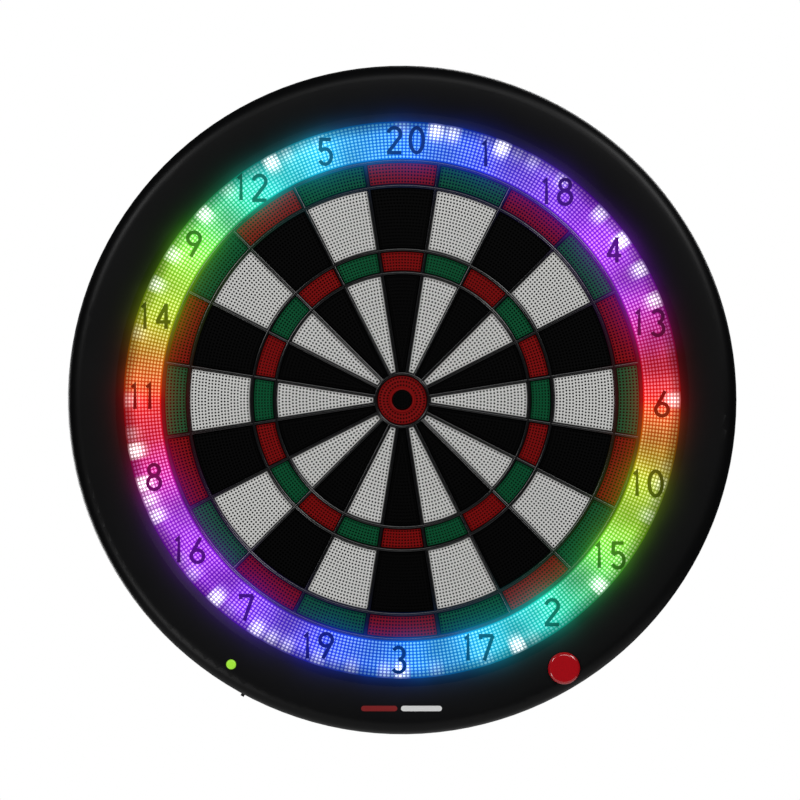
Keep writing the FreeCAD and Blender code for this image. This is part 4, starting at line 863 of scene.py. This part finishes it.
def stroke(raised, points, closed, width, front, back):
    """Adds a stroke of even width, standing from back to front."""
    count = len(points)
    sides = []
    for i, point in enumerate(points):
        before = points[i - 1] if i or closed else None
        after = points[(i + 1) % count] if i < count - 1 or closed else None
        directions = [(b - a).normalized() for a, b in ((before, point), (point, after)) if a and b]
        mean = sum(directions, Vector((0, 0))).normalized()
        normal = Vector((-mean.y, mean.x))
        stretch = 1 / max(MITRE_LEAST, mean.dot(directions[0]))
        sides.append([point + normal * (s * width / 2 * stretch) for s in (1, -1)])
    rings = [[raised.verts.new((p.x, y, p.y)) for p, y in
              ((left, -front), (right, -front), (right, -back), (left, -back))] for left, right in sides]
    pairs = list(zip(rings, rings[1:])) + ([(rings[-1], rings[0])] if closed else [])
    for here, there in pairs:
        for k in range(4):
            m = (k + 1) % 4
            raised.faces.new((here[k], there[k], there[m], here[m]))
    if not closed:
        raised.faces.new(rings[0])
        raised.faces.new(list(reversed(rings[-1])))


class DARTBOARD_OT_numerals(bpy.types.Operator):
    """Make the raised numerals on the number ring"""
    bl_idname = "dartboard.numerals"
    bl_label = "Numerals"

    def execute(self, context):
        settings = context.scene.dartboard_ring
        height, width = settings.digit_height, settings.digit_stroke
        raised = bmesh.new()
        for place, number in enumerate(NUMBERS):
            angle = math.radians(SECTOR * place) + settings.digit_turn
            centre = Vector((math.sin(angle), math.cos(angle))) * NUMERAL_RADIUS
            widths = [NARROW if digit == "1" else WIDE for digit in str(number)]
            left = -sum(widths) / 2
            for digit, wide in zip(str(number), widths):
                middle = Vector((left + wide / 2, 0))
                left += wide
                for layer, (points, closed) in enumerate(DIGITS[digit]):
                    drawn = [centre + (middle + Vector(point)) * (height - width) for point in points]
                    front = FACE + NUMERAL_RISE + layer * STROKE_STEP
                    stroke(raised, drawn, closed, width, front, FACE - NUMERAL_SUNK)
        bmesh.ops.recalc_face_normals(raised, faces=raised.faces)
        mesh = to_mesh(raised, "numerals")
        mesh.materials.append(lit_plastic("numeral plastic", settings.web_light * NUMERAL_LIGHT,
                                          paleness=0.0, spot_share=0.0))
        new_piece("numerals", mesh, "board")
        return {"FINISHED"}


# ---- Trim ----

def shell_height(x, z):
    """Height of the shell's face over the wall, between its lip and its crest."""
    (lip_r, lip), (crest_r, crest) = SHELL_LIP, SHELL_CREST
    share = (math.hypot(x, z) - lip_r) / (crest_r - lip_r)
    return lip + (crest - lip) * (1 - (1 - share) ** 2)


def rounded_bar(name, x0, x1, z0, z1):
    """A flat printed bar with round ends that follows the shell's face."""
    half, middle = (z1 - z0) / 2, (z0 + z1) / 2
    quarters = [math.pi * (i / 8 - 0.5) for i in range(9)]
    outline = [(x1 - half + half * math.cos(a), middle + half * math.sin(a)) for a in quarters]
    outline += [(x0 + half - half * math.cos(a), middle - half * math.sin(a)) for a in quarters]
    flat = bmesh.new()
    top, low = ([flat.verts.new((x, -(shell_height(x, z) + thick), z)) for x, z in outline]
                for thick in (BAR_THICK, -BAR_THICK))
    flat.faces.new(top)
    for i in range(len(outline)):
        j = (i + 1) % len(outline)
        flat.faces.new((top[i], low[i], low[j], top[j]))
    flat.faces.new(list(reversed(low)))
    bmesh.ops.recalc_face_normals(flat, faces=flat.faces)
    return to_mesh(flat, name)


class DARTBOARD_OT_marks(bpy.types.Operator):
    """Make the two printed bars under the target"""
    bl_idname = "dartboard.marks"
    bl_label = "Printed bars"

    def execute(self, context):
        high = BAR_LOW + context.scene.dartboard_shell.bar_height
        for name, (x0, x1, colour) in BARS.items():
            mesh = rounded_bar(name, x0, x1, BAR_LOW, high)
            print_finish = moulded(name.replace("_", " ") + " print", colour, 0.45, bump=0.03, drift=0.04)
            mesh.materials.append(print_finish)
            new_piece(name, mesh, "board")
        return {"FINISHED"}


class DARTBOARD_OT_recesses(bpy.types.Operator):
    """Make painted shade for the cross recesses in the screws of the rear cover, as thin dark crosses"""
    bl_idname = "dartboard.recesses"
    bl_label = "Screw recess shadows"

    def execute(self, context):
        # Painted shade: the dark finish of the crosses stands in for the shade in the recesses.
        finish = moulded("screw recess shadow", (0.02, 0.02, 0.022), 0.6, metallic=0.4, scale=900.0)
        parts = []
        for name, (radius, count, first) in SCREW_CIRCLES.items():
            cross = bmesh.new()
            for wide, tall in ((CROSS_WIDE, CROSS_LONG), (CROSS_LONG, CROSS_WIDE)):
                bmesh.ops.create_cube(cross, size=1, matrix=Matrix.Translation((0, CROSS_Y, radius)) @
                                      Matrix.Diagonal((wide, CROSS_THICK, tall, 1)))
            piece = bpy.data.objects.new(name, to_mesh(cross, name))
            parts.append((baked(repeat_tree(), {"Piece": piece, "Count": count,
                                                "First angle": math.radians(first)}, name), 0))
            bpy.data.objects.remove(piece)
        new_piece("screw_recesses", merged(parts, "screw_recesses", [finish]), "board")
        return {"FINISHED"}


# ---- Finishes of the CAD pieces ----

def shell_finish():
    """The front shell's satin plastic, with a painted glow of the ring's light near its lip."""
    settings = bpy.context.scene.dartboard_shell
    spill = bpy.context.scene.dartboard_ring.spill
    return moulded("shell satin black", settings.black, settings.roughness, scale=3200.0, bump=0.06,
                   drift=0.1, unevenness=0.06, specular=0.16, spill=spill)


def cad_finishes():
    """The finish of each CAD piece that stays as it is."""
    shell = bpy.context.scene.dartboard_shell
    board = moulded("green solder mask", (0.006, 0.09, 0.03), 0.3, scale=700.0, bump=0.15, drift=0.2,
                    coat=0.3)
    chips = moulded("black component case", (0.012, 0.012, 0.013), 0.5, scale=1500.0, bump=0.12)
    steel = moulded("zinc plated steel", (0.62, 0.62, 0.65), 0.36, scale=420.0, bump=0.1, drift=0.15,
                    unevenness=0.2, metallic=0.75)
    spring = moulded("spring wire", (0.45, 0.45, 0.47), 0.3, scale=900.0, metallic=1.0)
    cream = moulded("cream connector", (0.7, 0.64, 0.5), 0.45, scale=1500.0)
    white = moulded("white light plastic", (0.8, 0.8, 0.78), 0.45, scale=1200.0, bump=0.05, drift=0.03)
    film = moulded("contact film", (0.6, 0.61, 0.55), 0.25, scale=300.0, bump=0.05, drift=0.12)
    rubber = moulded("black rubber", (0.014, 0.014, 0.014), 0.75, scale=1100.0, bump=0.25, drift=0.15)
    cover = moulded("cover plastic", (0.016, 0.016, 0.017), 0.55, scale=1400.0, bump=0.3, drift=0.12)
    panel = moulded("backing panel", (0.05, 0.05, 0.05), 0.6, scale=800.0, bump=0.2)
    finishes = {
        "spider": spider_finish(),
        "front_bezel": shell_finish(),
        "rear_cover": cover, "button_housing": cover, "switch_thumb": cover,
        "rubber_mat": rubber, "wall_feet": rubber,
        "cables": moulded("cable sheath", (0.05, 0.05, 0.055), 0.5, scale=900.0, bump=0.15),
        "light_cable": moulded("ribbon cable", (0.2, 0.2, 0.21), 0.5, scale=900.0, bump=0.15),
        "backing_board": panel,
        "light_diffuser": white, "light_reflector": white,
        "ring_lights": moulded("light package", (0.85, 0.85, 0.8), 0.3, scale=900.0, glow=0.6),
        "red_button": moulded("button red plastic", shell.button_red, 0.16, bump=0.015, drift=0.06, coat=0.6),
        "power_window": moulded("green lit window", (0.24, 0.52, 0.03), 0.3, bump=0.04, drift=0.3, glow=0.75),
        "power_light": moulded("green light package", (0.3, 0.75, 0.1), 0.3, glow=1.0),
        "button_spring": spring,
    }
    for node in ("light_board", "button_board", "switch_board", "power_board", "control_board"):
        finishes[node] = board
    for node in ("control_chips", "button_switch", "switch_body"):
        finishes[node] = chips
    for node in ("spider_screws", "target_screws", "cover_screws", "small_screws", "hanger_plates",
                 "hanger_rivets", "power_socket", "radio_module"):
        finishes[node] = steel
    for node in ("sensor_sheet_front", "sensor_sheet_rear", "sensor_tails"):
        finishes[node] = film
    finishes["board_sockets"] = cream
    return finishes


class DARTBOARD_OT_finishes(bpy.types.Operator):
    """Give the CAD pieces their finishes and smooth curves"""
    bl_idname = "dartboard.finishes"
    bl_label = "Finishes"

    def execute(self, context):
        for name, finish in cad_finishes().items():
            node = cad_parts[name]
            node.data.materials.clear()
            node.data.materials.append(finish)
            if node.hide_render:
                continue
            node.data.polygons.foreach_set("use_smooth", [True] * len(node.data.polygons))
            weld = node.modifiers.new("weld", "WELD")
            weld.merge_threshold = 1e-6
            split = node.modifiers.new("edges", "EDGE_SPLIT")
            split.split_angle = math.radians(28)
        return {"FINISHED"}


# ---- Stage ----

class DARTBOARD_OT_stage(bpy.types.Operator):
    """Make the floor, the lights and the camera"""
    bl_idname = "dartboard.stage"
    bl_label = "Stage"

    def execute(self, context):
        settings = context.scene.dartboard_stage
        floor = bmesh.new()
        bmesh.ops.create_circle(floor, cap_ends=True, segments=96, radius=FLOOR_R,
                                matrix=Matrix.Translation((0, 0, FLOOR_Z)))
        mesh = to_mesh(floor, "floor")
        mesh.materials.append(moulded("pale floor", (0.8, 0.8, 0.8), 0.7, scale=60.0, bump=0.02, drift=0.02))
        stand = bpy.data.objects.new("floor", mesh)
        context.scene.collection.objects.link(stand)

        world = bpy.data.worlds.new("studio")
        world.use_nodes = True
        tree = world.node_tree
        tree.nodes.clear()
        seen = add(tree, "ShaderNodeBackground", {"Color": (1, 1, 1, 1), "Strength": 1.0})
        fill = add(tree, "ShaderNodeBackground", {"Color": (0.9, 0.95, 1, 1), "Strength": 0.035})
        to_camera = add(tree, "ShaderNodeLightPath").outputs["Is Camera Ray"]
        mix = add(tree, "ShaderNodeMixShader", {0: to_camera, 1: fill.outputs[0], 2: seen.outputs[0]})
        add(tree, "ShaderNodeOutputWorld", {0: mix.outputs[0]})
        context.scene.world = world

        for name, (place, size, power) in LAMPS.items():
            lamp = bpy.data.lights.new(name, "AREA")
            lamp.size, lamp.energy = size, power
            light = bpy.data.objects.new(name, lamp)
            light.location = place
            light.rotation_euler = (-Vector(place)).to_track_quat("-Z", "Y").to_euler()
            light.visible_camera = False
            context.scene.collection.objects.link(light)

        eye = bpy.data.cameras.new("camera")
        eye.sensor_width = 36
        eye.lens = eye.sensor_width * (settings.distance - VIEW_PLANE) / settings.view_width
        camera = bpy.data.objects.new("camera", eye)
        camera.location = (settings.aim_x, -settings.distance, 0.0)
        camera.rotation_euler = (math.radians(90), 0, 0)
        context.scene.collection.objects.link(camera)
        context.scene.camera = camera
        context.scene.view_settings.view_transform = "Standard"
        return {"FINISHED"}


class DARTBOARD_PT_panel(bpy.types.Panel):
    """Lists the dartboard's pieces and settings"""
    bl_idname = "DARTBOARD_PT_panel"
    bl_label = "Electronic dartboard"
    bl_space_type = "VIEW_3D"
    bl_region_type = "UI"
    bl_category = "Dartboard"

    def draw(self, context):
        for group in GROUPS:
            settings = getattr(context.scene, group)
            box = self.layout.box()
            box.label(text=group.split("_")[1].capitalize())
            for name in settings.__annotations__:
                box.prop(settings, name)
        for operator in OPERATORS:
            self.layout.operator(operator.bl_idname)


GROUPS = {"dartboard_target": TargetSettings, "dartboard_ring": RingSettings,
          "dartboard_shell": ShellSettings, "dartboard_stage": StageSettings}
OPERATORS = (DARTBOARD_OT_stage, DARTBOARD_OT_keys, DARTBOARD_OT_bulls, DARTBOARD_OT_spider,
             DARTBOARD_OT_number_ring, DARTBOARD_OT_numerals, DARTBOARD_OT_marks, DARTBOARD_OT_recesses,
             DARTBOARD_OT_finishes)


def register():
    """Adds the settings, the operators and the panel."""
    for item in (*GROUPS.values(), *OPERATORS, DARTBOARD_PT_panel):
        bpy.utils.register_class(item)
    for name, group in GROUPS.items():
        setattr(bpy.types.Scene, name, bpy.props.PointerProperty(type=group))


def unregister():
    """Takes them away again."""
    for name in GROUPS:
        delattr(bpy.types.Scene, name)
    for item in reversed((*GROUPS.values(), *OPERATORS, DARTBOARD_PT_panel)):
        bpy.utils.unregister_class(item)


def main():
    """Makes the whole dartboard."""
    register()
    for operator in OPERATORS:
        group, name = operator.bl_idname.split(".")
        getattr(getattr(bpy.ops, group), name)()


if __name__ == "__main__":
    main()
